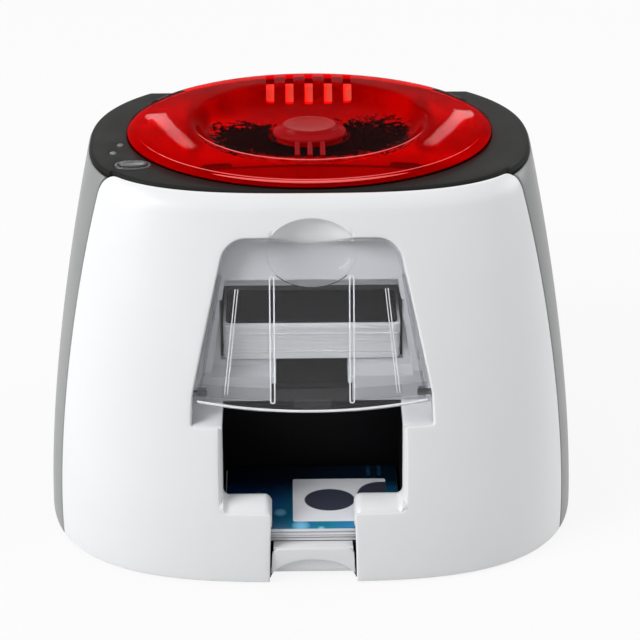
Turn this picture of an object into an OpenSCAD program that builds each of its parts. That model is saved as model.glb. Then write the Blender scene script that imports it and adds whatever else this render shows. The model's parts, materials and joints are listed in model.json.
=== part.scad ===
// Desktop printer for plastic id cards: moulded case, hinged translucent lid,
// smoked feeder flap, roller train, ribbon spools and a print head in the lid.
// Millimetres, +X right, +Y back, +Z up, origin under the middle of the foot.

/* [Case] */
// Width of the case at its foot
case_w = 270; // [255:1:290]
// Depth of the case at its foot
case_d = 206; // [200:1:216]
// Height of the front shell at its rolled top edge
front_h = 179; // [174:1:188]
// How far the front leans back over its height
front_lean = 66; // [62:1:70]
// How far each side leans in over its height
side_lean = 25; // [20:1:28]
// How far the back leans in over its height
rear_lean = 13; // [10:1:15]
// Wall of the moulded shells
wall = 2.4; // [2:0.1:3]
// Height of the rubber feet
foot_h = 1.2; // [1:0.1:2.5]
// Upward slope of the deck towards the back, in degrees
deck_tilt = 4; // [3:0.25:5]

/* [Lid] */
// Half length of the oval lid
lid_rx = 91.3; // [88:0.5:94]
// Half depth of the oval lid
lid_ry = 57; // [55:0.5:58.5]
// Height of the ridge around the lid's bowl
ridge_h = 7; // [6:0.25:9]
// Wall of the lid
lid_t = 2.2; // [1.8:0.1:2.6]
// Half length of the press knob
knob_rx = 18.5; // [15:0.5:21]
// Number of air slots over the back of the lid
slot_count = 5; // [3:1:7]
// Width of each air slot
slot_w = 4.2; // [3:0.1:5]
// Diameter of the lid's hinge pins
hinge_d = 4; // [3:0.1:5]

/* [Cards] */
// Length of a card
card_l = 85.6; // [82:0.1:87]
// Width of a card
card_w = 54; // [50:0.1:55]
// Thickness of a card
card_t = 0.76; // [0.5:0.01:0.9]
// Blank cards in the feeder
feed_cards = 25; // [2:1:30]
// Printed cards in the tray, under the top one
tray_cards = 9; // [1:1:12]

/* [Flap] */
// Width of the flap along its hinge
flap_w = 113; // [108:0.5:114]
// Height of the flap along its slope
flap_h = 83; // [78:0.5:84]
// Thickness of the smoked panel
flap_t = 2.2; // [1.6:0.1:2.6]
// Diameter of the flap's pivot pins
flap_pin_d = 3; // [2.4:0.1:3.6]

/* [Drive] */
// Diameter of the card rollers
roller_d = 14; // [11:0.5:15]
// Diameter of the roller shafts
shaft_d = 5; // [4:0.1:6]
// Distance between neighbouring rollers
roller_pitch = 20; // [18.5:0.25:21]
// Teeth on each roller gear
roller_teeth = 18; // [16:1:19]
// Teeth on each idler gear
idler_teeth = 12; // [11:1:14]
// Teeth on the motor pinion
pinion_teeth = 10; // [9:1:12]
// Thickness of the side frames
frame_t = 3; // [2:0.25:4]
// Diameter of a full ribbon roll
ribbon_d = 22; // [16:0.5:24]

/* [Hidden] */
$fn = 48;
eps = 0.01;
// clearances
fit = 0.3;
run = 0.05;
// the case as a stack of outlines
rings = 8;
ring_pts = 52;
roll_h = 4;
crease_z = front_h - roll_h;
mid_shift = 24;
top_z = front_h + 15;
front_pow = 3.06;
foot_back_pow = 4;
top_back_pow = 2.2;
seam_slope = 0.26;
seam_front_y = -14;
seam_back_y = 70;

function up(z) = max(0, z) / front_h;
function half_w(z, d) = case_w / 2 - side_lean * pow(up(z), 1.63) - d;
function lean_y(z) = -case_d / 2 + front_lean * pow(up(min(z, crease_z)), 1.4);
function front_y(z, d) = lean_y(z) + 1.5 * max(0, z - crease_z) + 1.15 * d;
function back_y(z, d) = case_d / 2 - rear_lean * pow(up(z), 2) - d;
function mid_y(z) = mid_shift * up(z);
function spow(v, e) = sign(v) * pow(abs(v), e);
function back_pow(z) = foot_back_pow + (top_back_pow - foot_back_pow) * min(1, up(z));
function ring_pt(z, t, d) = let (n = sin(t) < 0 ? front_pow : back_pow(z))
    let (b = sin(t) < 0 ? mid_y(z) - front_y(z, d) : back_y(z, d) - mid_y(z))
    [half_w(z, d) * spow(cos(t), 2 / n), mid_y(z) + b * spow(sin(t), 2 / n)];
function ring(z, d) = [for (i = [0:ring_pts - 1]) ring_pt(z, 360 * (i + 0.5) / ring_pts, d)];
// the case's front surface at a point across and up
function case_front(x, z, d) = mid_y(z) - (mid_y(z) - front_y(z, d))
    * pow(1 - pow(abs(x) / half_w(z, d), front_pow), 1 / front_pow);

deck_y = front_y(front_h, 0);
function deck_z(y) = front_h + (y - deck_y) * tan(deck_tilt);
deck_t = 3;
lid_y = lid_ry + 2.5;
lid_gap = 0.3;
bowl_r = 0.64 * lid_rx;

// the sloping plane of the flap, with its origin at the flap's lowest point
bay_z = 85;
bay_y = lean_y(bay_z) - 0.7;
bay_top = bay_z + 75.6;
bay_lean = atan((lean_y(bay_top) - lean_y(bay_z)) / (bay_top - bay_z));
flap_gap = 0.6;
flap_top_w = flap_w - 27;
flap_crown = 620;
flap_drop = 5;
flap_corner = 12;
surround_depth = 28;
surround_wall = 3;

bay_w = card_l + 3.2;
path_z = bay_z + 12;
roof_z = path_z + 32;
card_front = bay_y + surround_depth + 2.4;
card_back = card_front + card_w;
tray_z = 18.6;
tray_front = front_y(tray_z, wall) + 0.8;
tray_back = tray_front + card_w + 4;
notch_w = 40.6;
sill_z = 39;
sill_top = 43.5;

roller_r = roller_d / 2;
shaft_z = path_z - fit - roller_r;
first_roller_y = card_front + 44;
function roller_y(i) = first_roller_y + i * roller_pitch;
frame_in = bay_w / 2 + 14.1;
frame_out = frame_in + frame_t;
gear_x = frame_out + 1;
gear_t = 6;
gear_m = 1;
function pitch_r(n) = gear_m * n / 2;
idler_drop = sqrt(pow(pitch_r(roller_teeth) + pitch_r(idler_teeth) + 0.05, 2) - pow(roller_pitch / 2, 2));
pinion_dir = -55;
pinion_c = pitch_r(roller_teeth) + pitch_r(pinion_teeth) + 0.05;
pinion_y = roller_y(3) + pinion_c * cos(pinion_dir);
pinion_z = shaft_z + pinion_c * sin(pinion_dir);
hinge_y = deck_y + lid_y + lid_ry + 2.6;
hinge_z = deck_z(hinge_y) - 16.3;
knuckle_r = hinge_d / 2 + 2;
spool_z = hinge_z - 25;
supply_y = first_roller_y - 12;
takeup_y = roller_y(3) + 12;
head_y = roller_y(2);

module on_deck() translate([0, deck_y, front_h]) rotate([deck_tilt, 0, 0]) children();
module on_lid() on_deck() translate([0, lid_y, 0]) children();
module on_bay() translate([0, bay_y, bay_z]) rotate([90 - bay_lean, 0, 0]) children();
module mirror_x() { children(); mirror([1, 0, 0]) children(); }
module along_x(x, len, r) translate([x, 0, 0]) rotate([0, 90, 0]) cylinder(h = len, r = r);

// a closed solid through every outline of the case
module case_form(d, from) {
    levels = concat([from], [for (i = [1:rings - 1]) if (crease_z * i / rings > from
        + 1) crease_z * i / rings],
        [crease_z, front_h, top_z]);
    n = ring_pts;
    pts = [for (z = levels) for (p = ring(z, d)) [p[0], p[1], z]];
    last = len(levels) - 1;
    sides = [for (k = [0:last - 1]) for (i = [0:n - 1]) let (j = (i + 1) % n)
        each [[k * n + i, (k + 1) * n + i, (k + 1) * n + j], [k * n + i, (k + 1) * n + j, k * n + j]]];
    caps = [[for (i = [0:n - 1]) i], [for (i = [n - 1:-1:0]) last * n + i]];
    polyhedron(points = pts, faces = concat(sides, caps), convexity = 4);
}
module case_skin() {
    difference() {
        case_form(0, foot_h);
        case_form(wall, foot_h - 5);
    }
}
module above_deck(z) on_deck() translate([-200, -120, z]) cube([400, 360, 60]);
// everything in front of the sloping seam between the front and the sides
module seam_front(gap) {
    a = atan(seam_slope);
    translate([-200, seam_front_y - gap, front_h]) rotate([-a, 0, 0]) translate([0, -200, -220])
        cube([400, 200, 260]);
}
// a ring of the lid's oval shape, swept around a closed half section
module oval_form(half, n) {
    m = len(half);
    pts = [for (p = half) for (i = [0:n - 1]) [p[0] * cos(360 * i / n),
        p[0] * lid_ratio * sin(360 * i / n), p[1]]];
    faces = [for (k = [0:m - 1]) for (i = [0:n - 1]) let (j = (i + 1) % n, q = (k + 1) % m)
        each [[k * n + i, q * n + i, q * n + j], [k * n + i, q * n + j, k * n + j]]];
    polyhedron(points = pts, faces = faces, convexity = 6);
}
// the same, closed at both ends of an open half section
module oval_cap(half, n) {
    m = len(half);
    pts = [for (p = half) for (i = [0:n - 1]) [p[0] * cos(360 * i / n),
        p[0] * lid_ratio * sin(360 * i / n), p[1]]];
    faces = [for (k = [0:m - 2]) for (i = [0:n - 1]) let (j = (i + 1) % n)
        each [[k * n + i, (k + 1) * n + i, (k + 1) * n + j], [k * n + i, (k + 1) * n + j, k * n + j]]];
    caps = [[for (i = [0:n - 1]) i], [for (i = [n - 1:-1:0]) (m - 1) * n + i]];
    polyhedron(points = pts, faces = concat(faces, caps), convexity = 4);
}
module oval(rx, ry, h) linear_extrude(h) polygon([for (i = [0:71]) [rx * cos(5 * i), ry * sin(5 * i)]]);

function flap_outline(g) = concat(
    [for (k = [-8:8]) [k / 8 * (flap_w / 2 + g), flap_drop * pow(k / 8, 2) - g]],
    [for (k = [0:6]) let (t = 11 + k * 79 / 6)
        [flap_top_w / 2 - flap_corner + (flap_corner + g) * cos(t),
            flap_h - flap_corner + (flap_corner + g) * sin(t)]],
    [for (k = [0:6]) let (t = 90 + k * 79 / 6)
        [flap_corner - flap_top_w / 2 + (flap_corner + g) * cos(t),
            flap_h - flap_corner + (flap_corner + g) * sin(t)]]);
// a slice of the flap's outline that follows its crown, from one depth to another
module crowned(deep, g, low) {
    intersection() {
        translate([0, 0, -40]) linear_extrude(60) polygon(flap_outline(g));
        translate([0, -40, -flap_crown]) rotate([-90, 0, 0]) difference() {
            cylinder(h = 180, r = flap_crown - deep, $fn = 720);
            translate([0, 0, -1]) cylinder(h = 182, r = flap_crown - low, $fn = 720);
        }
    }
}
// the finger scoop over the flap's upper edge
scoop_v = flap_h - 6.4;
module scoop(g) translate([0, scoop_v, 0]) scale([22 + g, 16.5 + g, 7 + g]) sphere(r = 1, $fn = 96);
// pivot of the flap
flap_pin_v = 9;
flap_pin_w = -7.6;
flap_sweep = norm([flap_pin_v, flap_pin_w - 0.8]) + 0.4;
pivot_y = bay_y + flap_pin_v * sin(bay_lean) - flap_pin_w * cos(bay_lean);
pivot_z = bay_z + flap_pin_v * cos(bay_lean) + flap_pin_w * sin(bay_lean);
recess_w = flap_w / 2 + 2;
recess_z = pivot_z - flap_sweep;

module front_prism(pts) translate([0, -58, 0]) rotate([90, 0, 0]) linear_extrude(70) polygon(pts);
module side_prism(x, len, pts) translate([x, 0, 0]) rotate([90, 0, 90]) linear_extrude(len) polygon(pts);

sill_in = case_front(bay_w / 2, sill_top, 0) + 0.6;
out_w = bay_w / 2 - 0.9;

module front_shell() color("white") difference() {
    union() {
        intersection() {
            case_skin();
            seam_front(0);
        }
        mirror_x() translate([notch_w / 2 - 2, sill_in, sill_z - 5])
            cube([out_w - notch_w / 2 + 2.6, 10, 9.5]);
        on_bay() intersection() {
            scoop(wall);
            translate([-40, flap_h, -20]) cube([80, 30, 18.6]);
        }
    }
    above_deck(0);
    on_bay() translate([0, 0, -15]) linear_extrude(30) polygon(flap_outline(flap_gap));
    // corner recesses under the flap's pivots, then the mouth of the tray
    front_prism([[-recess_w, recess_z], [recess_w, recess_z], [recess_w - 1, pivot_z + 2],
        [1 - recess_w, pivot_z + 2]]);
    front_prism([[-out_w, sill_top + 4], [2.5 - out_w, sill_top + 1], [out_w - 2.5, sill_top + 1],
        [out_w, sill_top + 4],
        [out_w, recess_z + 1], [-out_w, recess_z + 1]]);
    side_prism(-out_w, 2 * out_w, [[sill_in - 20, sill_z - 9.3], [sill_in + 12, sill_top + 1.2],
        [sill_in + 12, sill_top + 9],
        [sill_in - 20, sill_top + 9]]);
    front_prism([[-notch_w / 2 - 1, -5], [notch_w / 2 + 1, -5], [notch_w / 2, sill_top - 3],
        [notch_w / 2 + 2.5, sill_top + 3],
        [-notch_w / 2 - 2.5, sill_top + 3], [-notch_w / 2, sill_top - 3]]);
    on_bay() scoop(0);
}

module side_panel() intersection() {
    case_skin();
    difference() {
        translate([-160, -160, -5]) cube([160, 160 + seam_back_y - fit / 2, 300]);
        seam_front(-fit / 2);
        above_deck(-deck_t);
    }
}
module side_panel_left() color("silver") side_panel();
module side_panel_right() color("silver") mirror([1, 0, 0]) side_panel();

shelf_drop = 9;
skirt_w = 50;
hatch_w = skirt_w + 8;
hatch_z = hinge_z - 8;
inlet_x = frame_out + 8.5;
inlet_z = 22;
port_x = inlet_x + 22;
vent_n = 6;
module behind_seam(y) translate([-160, y, -5]) cube([320, 60, 300]);
module rear_shell() color("silver") difference() {
    union() {
        difference() {
            intersection() {
                case_skin();
                behind_seam(seam_back_y + fit / 2);
            }
            above_deck(-shelf_drop);
        }
        // sunken shelf behind the deck, and the riser up to the deck's underside
        intersection() {
            case_form(wall / 2, crease_z - 20);
            behind_seam(seam_back_y + fit / 2);
            union() {
                on_deck() translate([-160, -60, -shelf_drop - wall]) cube([320, 260, wall]);
                on_deck() translate([-160, seam_back_y - deck_y - 2, -shelf_drop - 1])
                    cube([320, wall, shelf_drop + 1 - deck_t]);
            }
        }
    }
    translate([-hatch_w, seam_back_y - 1, hatch_z]) cube([2 * hatch_w, 60, 60]);
    translate([inlet_x - 6, 80, inlet_z - 6]) cube([12, 40, 12]);
    translate([port_x - 6.5, 80, inlet_z - 6]) cube([13, 40, 11.5]);
    mirror_x() for (i = [0:vent_n - 1]) translate([28, 80, 112 + 6 * i]) cube([34, 40, 2.6]);
}

module deck_bezel() color("#3a3d40") difference() {
    intersection() {
        union() {
            difference() {
                case_form(0, crease_z - 12);
                seam_front(-fit / 2);
            }
            case_form(wall + 0.1, crease_z - 12);
        }
        on_deck() translate([-160, -60, -deck_t]) cube([320, 260, deck_t]);
        translate([-160, -160, 0]) cube([320, 160 + seam_back_y, 300]);
    }
    on_lid() translate([0, 0, -9]) oval(lid_rx - 5, lid_ry - 5, 20);
    translate([-hatch_w + 0.5, seam_back_y - 2.5, 100]) cube([2 * hatch_w - 1, 60, 100]);
    on_button() translate([0, 0, -9]) oval(ring_rx + 0.1, ring_ry + 0.1, 20);
    on_lenses() translate([0, 0, -9]) cylinder(h = 20, r = lens_r + run);
}

foot_x = case_w / 2 - 43;
foot_y = case_d / 2 - 41;
foot_r = 8;
plate_t = 2.5;
plate_top = foot_h + plate_t;
arch_w = 42;
arch_h = 12;
module arch(len) translate([0, -case_d / 2 - 5, 0]) rotate([-90, 0, 0]) oval(arch_w / 2, arch_h, len);
module base_plate() color("#2f3133") difference() {
    union() {
        translate([0, 0, foot_h]) linear_extrude(plate_t) polygon(ring(foot_h, wall + 1.3));
        for (x = [board_x + 3.5, board_x + board_w - 4.5], y = [board_y + 6, board_y + board_l - 8])
            translate([x, y, foot_h]) cylinder(h = board_z - foot_h, r = 3);
    }
    arch(20);
}
module feet() color("#1d1d1f") for (x = [-foot_x, foot_x], y = [-foot_y, foot_y])
    translate([x, y, 0]) cylinder(h = foot_h, r1 = foot_r - 0.6, r2 = foot_r);

// light panel behind the flap, with the mouth of the feeder
panel_w = -surround_depth;
mouth_z = path_z - 1;
shelf_front = pivot_y + flap_sweep;
shelf_back = card_front + 7;
module feed_surround() color("#e4e5e6") difference() {
    union() {
        difference() {
            on_bay() intersection() {
                union() {
                    translate([0, 0, panel_w]) linear_extrude(60)
                        polygon([for (p = flap_outline(4.4)) [p[0], min(p[1], 66)]]);
                    translate([0, 0, -15]) linear_extrude(60) polygon(flap_outline(4.4));
                }
                translate([0, -40, -flap_crown]) rotate([-90, 0, 0])
                    cylinder(h = 180, r = flap_crown - 4.4, $fn = 720);
            }
            on_bay() translate([0, 0, panel_w + surround_wall]) linear_extrude(60)
                polygon([for (p = flap_outline(-1.2))
                [p[0], p[1] < 12 ? p[1] - 30 : min(p[1], 63)]]);
            on_bay() translate([0, 0, -12]) linear_extrude(60) polygon(flap_outline(-1.2));
            on_bay() scoop(wall + 0.4);
            translate([-100, -110, 60]) cube([200, shelf_front + 110, recess_z - 60]);
            translate([-recess_w + 0.5, -110, recess_z - 3])
                cube([2 * recess_w - 1, shelf_front + 110, pivot_z + 10 - recess_z]);
            translate([-100, -110, 50]) cube([200, 120, 38]);
        }
        // floor of the panel on each side of the finger gap
        mirror_x() side_prism(17.5, flap_w / 2 - 18,
            [[shelf_front, mouth_z - 8.5], [shelf_front, mouth_z - 4.5],
            [shelf_back, mouth_z - 1], [shelf_back, mouth_z - 8.5]]);
        // ledges in the two corner recesses, and the cheeks that hold the pivots
        mirror_x() side_prism(out_w, recess_w - out_w + 2.5,
            [[pivot_y - 3.5, recess_z - 3], [pivot_y - 3.5, recess_z - 0.3],
            [shelf_front + 1, recess_z - 0.3], [shelf_front + 1, recess_z - 3]]);
        mirror_x() side_prism(recess_w, 2.5, [[pivot_y - 3.5, recess_z - 3], [pivot_y + 1.2, pivot_z + 4],
            [pivot_y + 6, pivot_z + 6], [shelf_front + 1, pivot_z + 6], [shelf_front + 1, recess_z - 3]]);
    }
    translate([-bay_w / 2, -80, mouth_z]) cube([bay_w, 90, roof_z - mouth_z]);
    translate([-17.5, -90, 70]) cube([35, 100, mouth_z - 69]);
    mirror_x() translate([0, pivot_y, pivot_z]) along_x(recess_w - 8, 20, flap_pin_d / 2 + run);
}

roof_t = 2;
stack_top = path_z + feed_cards * card_t;
module card_magazine() color("#232527") difference() {
    side_prism(-bay_w / 2 - 2.6, bay_w + 5.2, [[shelf_back + fit, path_z - 3],
        [card_back + 2.8, path_z - 3],
        [card_back + 2.8, stack_top + 2.5], [card_back - 19, roof_z + roof_t],
            [bay_back(roof_z + roof_t), roof_z + roof_t],
        [bay_back(mouth_z), mouth_z - 1 + fit], [shelf_back + fit, mouth_z - 1 + fit]]);
    side_prism(-bay_w / 2, bay_w, [[card_front - 30, path_z], [card_back + 1.2, path_z],
        [card_back + 1.2, stack_top + 1.2],
        [card_back - 20, roof_z], [card_front - 30, roof_z]]);
    // way out for one card, and the slot for the picking roller
    translate([-bay_w / 2, card_back, path_z]) cube([bay_w, 10, 2 * card_t]);
    translate([-39, first_roller_y - roller_r - 1, path_z - 5]) cube([78, roller_d + 2, 6]);
}
// where the back of the feeder panel lies at a height
function bay_back(z) = bay_y + (z - bay_z) * tan(bay_lean) + surround_depth / cos(bay_lean) + fit;

module card(y, z, n) translate([-card_l / 2, y, z]) linear_extrude(n * card_t) offset_card();
module offset_card() polygon([for (c = [[3, 3, 180], [card_l - 3, 3, 270], [card_l - 3, card_w - 3, 0],
    [3, card_w - 3, 90]])
    for (k = [0:3]) [c[0] + 3 * cos(c[2] + 30 * k), c[1] + 3 * sin(c[2] + 30 * k)]]);
module feed_stack() color("white") card(card_front, path_z, feed_cards);

bin_t = 2;
card_lie = case_front(card_l / 2, tray_z + 12, wall) + 0.8;
bin_back = card_lie + card_w + 3;
bin_top = mouth_z - 9;
function bin_front(z) = case_front(bay_w / 2 + bin_t, z, wall) + 1.1;
module output_bin() color("#1b1c1e") difference() {
    side_prism(-bay_w / 2 - bin_t, bay_w + 2 * bin_t,
        [[bin_front(tray_z - bin_t), tray_z - bin_t], [bin_back + bin_t, tray_z - bin_t],
        [bin_back + bin_t, bin_top], [shelf_front + 1, bin_top], [shelf_front + 1, recess_z - 3.3],
            [bin_front(recess_z - 4) + 1, recess_z - 3.3],
        [bin_front(sill_top + 4), sill_top + 4]]);
    side_prism(-bay_w / 2, bay_w, [[-200, tray_z], [bin_back, tray_z], [bin_back, bin_top - bin_t],
        [-200, bin_top - bin_t]]);
    // gap that the printed cards drop through
    translate([-bay_w / 2, bin_back - 1, 60]) cube([bay_w, 10, bin_top - 62]);
    arch(20);
    mirror_x() translate([notch_w / 2 - 1, bin_front(tray_z) - 20, tray_z - 5]) cube([60, 20.6, 10]);
}
lip_y = front_y(arch_h, 0) + 2.6;
lip_t = 2.4;
module tray_lip() color("white") difference() {
    translate([0, lip_y + lip_t, 0]) rotate([90, 0, 0]) linear_extrude(lip_t)
        polygon(concat([[-notch_w / 2 + 0.6, foot_h], [notch_w / 2 - 0.6, foot_h]],
        [for (k = [0:5]) [notch_w / 2 - 4.6 + 4 * cos(18 * k), tray_z - 4 + 4 * sin(18 * k)]],
        [for (k = [0:5]) [4.6 - notch_w / 2 - 4 * sin(18 * k), tray_z - 4 + 4 * cos(18 * k)]]));
    arch(20);
}
module tray_stack() color("white") card(card_lie, tray_z, tray_cards);
module printed_card() color("#1d4fa0") card(card_lie, tray_z + tray_cards * card_t, 1);
ramp_t = 1.6;
module eject_ramp() color("#232527") side_prism(-bay_w / 2 + 0.4, bay_w - 0.8,
    [[bin_back + bin_t + 0.2, 62], [first_roller_y - roller_r - 4, path_z - 10],
    [first_roller_y - roller_r - 4, path_z - 10 - ramp_t], [bin_back + bin_t + 0.2, 62 - ramp_t]]);

rib_low = -flap_t - 1.3;
ear_t = 3.6;
ear_x = recess_w - 7.5;
module feeder_flap() color([0.45, 0.46, 0.48, 0.5]) difference() {
    union() {
        difference() {
            on_bay() crowned(0, 0, flap_t);
            on_bay() scoop(0);
        }
        intersection() {
            on_bay() difference() {
                scoop(0);
                scoop(-flap_t);
            }
            on_bay() translate([0, 0, -20]) linear_extrude(20 - flap_t / 2) polygon(flap_outline(0));
        }
        // bright lip along the lower edge
        on_bay() difference() {
            crowned(-0.8, 0, flap_t);
            translate([0, 2.4, -40]) linear_extrude(80)
                polygon([for (p = flap_outline(1)) [p[0], p[1] > 20 ? 120 : p[1] + 1]]);
        }
        on_bay() mirror_x() translate([19, 4, rib_low]) {
            translate([-1.3, 0, 0]) cube([2.6, 60, 1.6]);
            cylinder(h = 1.6, r = 1.3);
            translate([0, 60, 0]) cylinder(h = 1.6, r = 1.3);
        }
        on_bay() mirror_x() translate([41, 8, rib_low - 1.1]) rotate([0, 0, 5.5]) translate([-0.9, 0, 0])
            cube([1.8, 52, 2]);
        on_bay() translate([-9, 1.8, rib_low]) cube([18, 4.5, 1.6]);
        // ears that take the pivot pins
        mirror_x() {
            translate([0, pivot_y, pivot_z]) along_x(ear_x, ear_t, flap_pin_d / 2 + 1.5);
            on_bay() translate([ear_x, flap_pin_v - 2.6, flap_pin_w - 0.5])
                cube([ear_t, 5.2, -flap_pin_w - 3]);
        }
    }
    mirror_x() translate([0, pivot_y, pivot_z]) along_x(recess_w - 20, 40, flap_pin_d / 2);
}
module flap_pins() color("#1d1d1f") mirror_x() translate([0, pivot_y, pivot_z])
    along_x(ear_x - 0.5, recess_w + 2.5 - ear_x + 0.5, flap_pin_d / 2);

frame_front = first_roller_y - 22;
frame_back = takeup_y + 13;
frame_top = hinge_z - 5;
frame_slots = [for (i = [0:2]) first_roller_y + 2 + 30 * i];
spool_shaft = 4;
module side_frame() difference() {
    side_prism(frame_in, frame_t, [[frame_front, plate_top], [frame_back, plate_top],
        [frame_back, frame_top - 12], [frame_back - 8, frame_top],
        [frame_front + 4, frame_top], [frame_front, frame_top - 4]]);
    for (i = [0:3]) translate([0, roller_y(i), shaft_z]) along_x(frame_in - 5, 20, shaft_d / 2 + run);
    for (y = [supply_y, takeup_y]) translate([0, y, spool_z])
        along_x(frame_in - 5, 20, spool_shaft + run);
    for (y = frame_slots) translate([0, y, 34]) along_x(frame_in - 5, 20, 11);
    translate([0, head_y - 10, path_z + 35]) along_x(frame_in - 5, 20, 13);
}
idler_stud = 4;
module frame_right() color("#3c3f42") side_frame();
module frame_left() color("#3c3f42") {
    mirror([1, 0, 0]) side_frame();
    for (i = [0:2]) translate([0, roller_y(i) + roller_pitch / 2, shaft_z - idler_drop])
        along_x(-gear_x - gear_t - 1, gear_t + 2, idler_stud / 2);
}
tie_d = 5;
tie_pos = [for (y = [frame_front + 7, frame_back - 9], z = [60, 20]) [y, z]];
module tie_rods() color("silver") for (p = tie_pos) translate([0, p[0], p[1]])
    along_x(-frame_in, 2 * frame_in, tie_d / 2);

ear_w = 4.4;
knuckle_in = 26;
knuckle_w = 12;
module ear(x) {
    translate([0, hinge_y, hinge_z]) along_x(x, ear_w, knuckle_r);
    side_prism(x, ear_w, [[hinge_y - 9, hinge_z - 14], [hinge_y - 5.5, hinge_z - 14],
        [hinge_y - 2.5, hinge_z - 8], [hinge_y + knuckle_r, hinge_z - 1], [hinge_y + knuckle_r, hinge_z],
        [hinge_y - knuckle_r, hinge_z], [hinge_y - 9, hinge_z - 5]]);
}
module rear_bridge() color("#3c3f42") difference() {
    union() {
        translate([-frame_in, hinge_y - 14, hinge_z - 17]) cube([2 * frame_in, 5.2, 12]);
        mirror_x() {
            ear(knuckle_in - fit - ear_w);
            ear(knuckle_in + knuckle_w + fit);
        }
    }
    translate([0, hinge_y, hinge_z]) along_x(-90, 180, hinge_d / 2);
    translate([0, takeup_y, spool_z]) along_x(-90, 180, 12.6);
}
module hinge_pins() color("silver") mirror_x() translate([0, hinge_y, hinge_z])
    along_x(knuckle_in - fit - ear_w, knuckle_w + 2 * (fit + ear_w), hinge_d / 2);

lid_ratio = lid_ry / lid_rx;
slot_pitch = 9.9;
skirt_h = 11;
rim_t = 4;
// half section of the lid, from the rim in to the knob
lid_out = [[lid_rx, lid_gap], [lid_rx, 2.4], [lid_rx - 0.6, 3.5], [lid_rx - 2.2, rim_t],
    [0.88 * lid_rx, rim_t + 0.25 * (ridge_h - rim_t)],
    [0.78 * lid_rx, rim_t + 0.62 * (ridge_h - rim_t)], [bowl_r + 3, ridge_h - 0.25],
        [bowl_r + 1, ridge_h], [bowl_r - 0.4, ridge_h - 0.6],
    [bowl_r - 4, 0.8], [bowl_r - 6, 0], [knob_rx + 0.5, 0]];
lid_in = [[knob_rx + 0.5, -lid_t], [bowl_r - 6.6, -lid_t],
    [bowl_r - 4.6 - 0.7 * lid_t, -0.6 * lid_t + 0.4], [bowl_r - lid_t, ridge_h - lid_t - 1],
    [bowl_r + 2.5, ridge_h - lid_t - 0.3], [0.78 * lid_rx, rim_t - lid_t + 0.62 * (ridge_h - rim_t)],
    [0.88 * lid_rx, rim_t - lid_t + 0.25 * (ridge_h - rim_t)], [lid_rx - 3.4, rim_t - lid_t],
        [lid_rx - 3.4, lid_gap]];
module lid_dome() color([0.85, 0.05, 0.06, 0.7]) difference() {
    union() {
        on_lid() oval_form(concat(lid_out, lid_in), 60);
        // skirt that wraps over the back edge
        on_lid() intersection() {
            translate([0, 0, -skirt_h]) difference() {
                oval(lid_rx + 1.4, lid_ry + 1.4, skirt_h + 2);
                translate([0, 0, -1]) oval(lid_rx - 0.9, lid_ry - 0.9, skirt_h + 4);
            }
            translate([-skirt_w, 0, -40]) cube([2 * skirt_w, 100, 80]);
        }
        // ribs in front of the knob
        on_lid() for (x = [-7, 0, 7]) translate([x - 1.5, -lid_ratio * knob_rx - 14, -0.5])
            cube([3, 13, 2]);
    }
    on_lid() for (i = [0:slot_count - 1]) translate([(i - (slot_count - 1) / 2) * slot_pitch,
        lid_ry - 21, -20]) {
        translate([-slot_w / 2, 0, 0]) cube([slot_w, 40, 40]);
        cylinder(h = 40, r = slot_w / 2, $fn = 12);
    }
}
// hinge arms under the skirt
module lid_knuckles() color("#1b1c1e") mirror_x() difference() {
    union() {
        translate([0, hinge_y, hinge_z]) along_x(knuckle_in, knuckle_w, knuckle_r);
        difference() {
            side_prism(knuckle_in, knuckle_w, [[hinge_y - knuckle_r, hinge_z],
                [hinge_y + knuckle_r, hinge_z], [hinge_y + knuckle_r, hinge_z + 9],
                [hinge_y - 10, hinge_z + 9], [hinge_y - 10, hinge_z + 3.5]]);
            above_deck(-skirt_h);
        }
    }
    translate([0, hinge_y, hinge_z]) along_x(knuckle_in - 2, knuckle_w + 4, hinge_d / 2 + run);
}
plate_rx = 56;
plate_ry = 34;
cup_h = 11;
arm_y = 6;
head_top = 112;
head_w = 92;
head_d = 16;
module lid_frame() color("#1b1c1e") difference() {
    union() {
        on_lid() translate([-plate_rx, -plate_ry, -lid_t - 0.3 - 3])
            cube([2 * plate_rx, 2 * plate_ry, 3]);
        on_lid() translate([0, 0, -lid_t - 3 - cup_h])
            oval(knob_rx + 2.6, knob_rx * lid_ratio + 2.6, cup_h + 2);
        // arms that carry the print head
        mirror_x() translate([head_w / 2 - 6, head_y - arm_y, head_top])
            cube([4, 2 * arm_y, deck_z(head_y - arm_y) - lid_t - 1.5 - head_top]);
    }
    on_lid() translate([0, 0, -lid_t - 1 - cup_h]) oval(knob_rx + 0.4, knob_rx * lid_ratio + 0.4, 40);
    on_lid() mirror_x() translate([26, -plate_ry + 8, -20]) cube([22, 16, 40]);
    on_lid() mirror_x() translate([26, 12, -20]) cube([22, 14, 40]);
}
knob_top = 2.2;
knob_low = -lid_t - 7;
module press_knob() color("#8f1216") on_lid() oval_cap([[knob_rx - 1, knob_low], [knob_rx - 1, -lid_t],
    [knob_rx, 0.4],
    [knob_rx, knob_top - 0.8], [knob_rx - 1.2, knob_top], [0.72 * knob_rx, knob_top],
        [0.5 * knob_rx, knob_top - 0.9],
    [0.2 * knob_rx, knob_top - 1.4]], 40);
head_low = path_z + 1.8;
module print_head() color("#2a2c2f") difference() {
    side_prism(-head_w / 2, head_w, [[head_y - head_d / 2, head_low + 3], [head_y - 4, head_low],
        [head_y + 4, head_low], [head_y + head_d / 2, head_low + 3],
        [head_y + head_d / 2, head_top], [head_y - head_d / 2, head_top]]);
    translate([-30, head_y - 2, head_low + 8]) cube([60, 4, 20]);
}
fin_n = 9;
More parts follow.
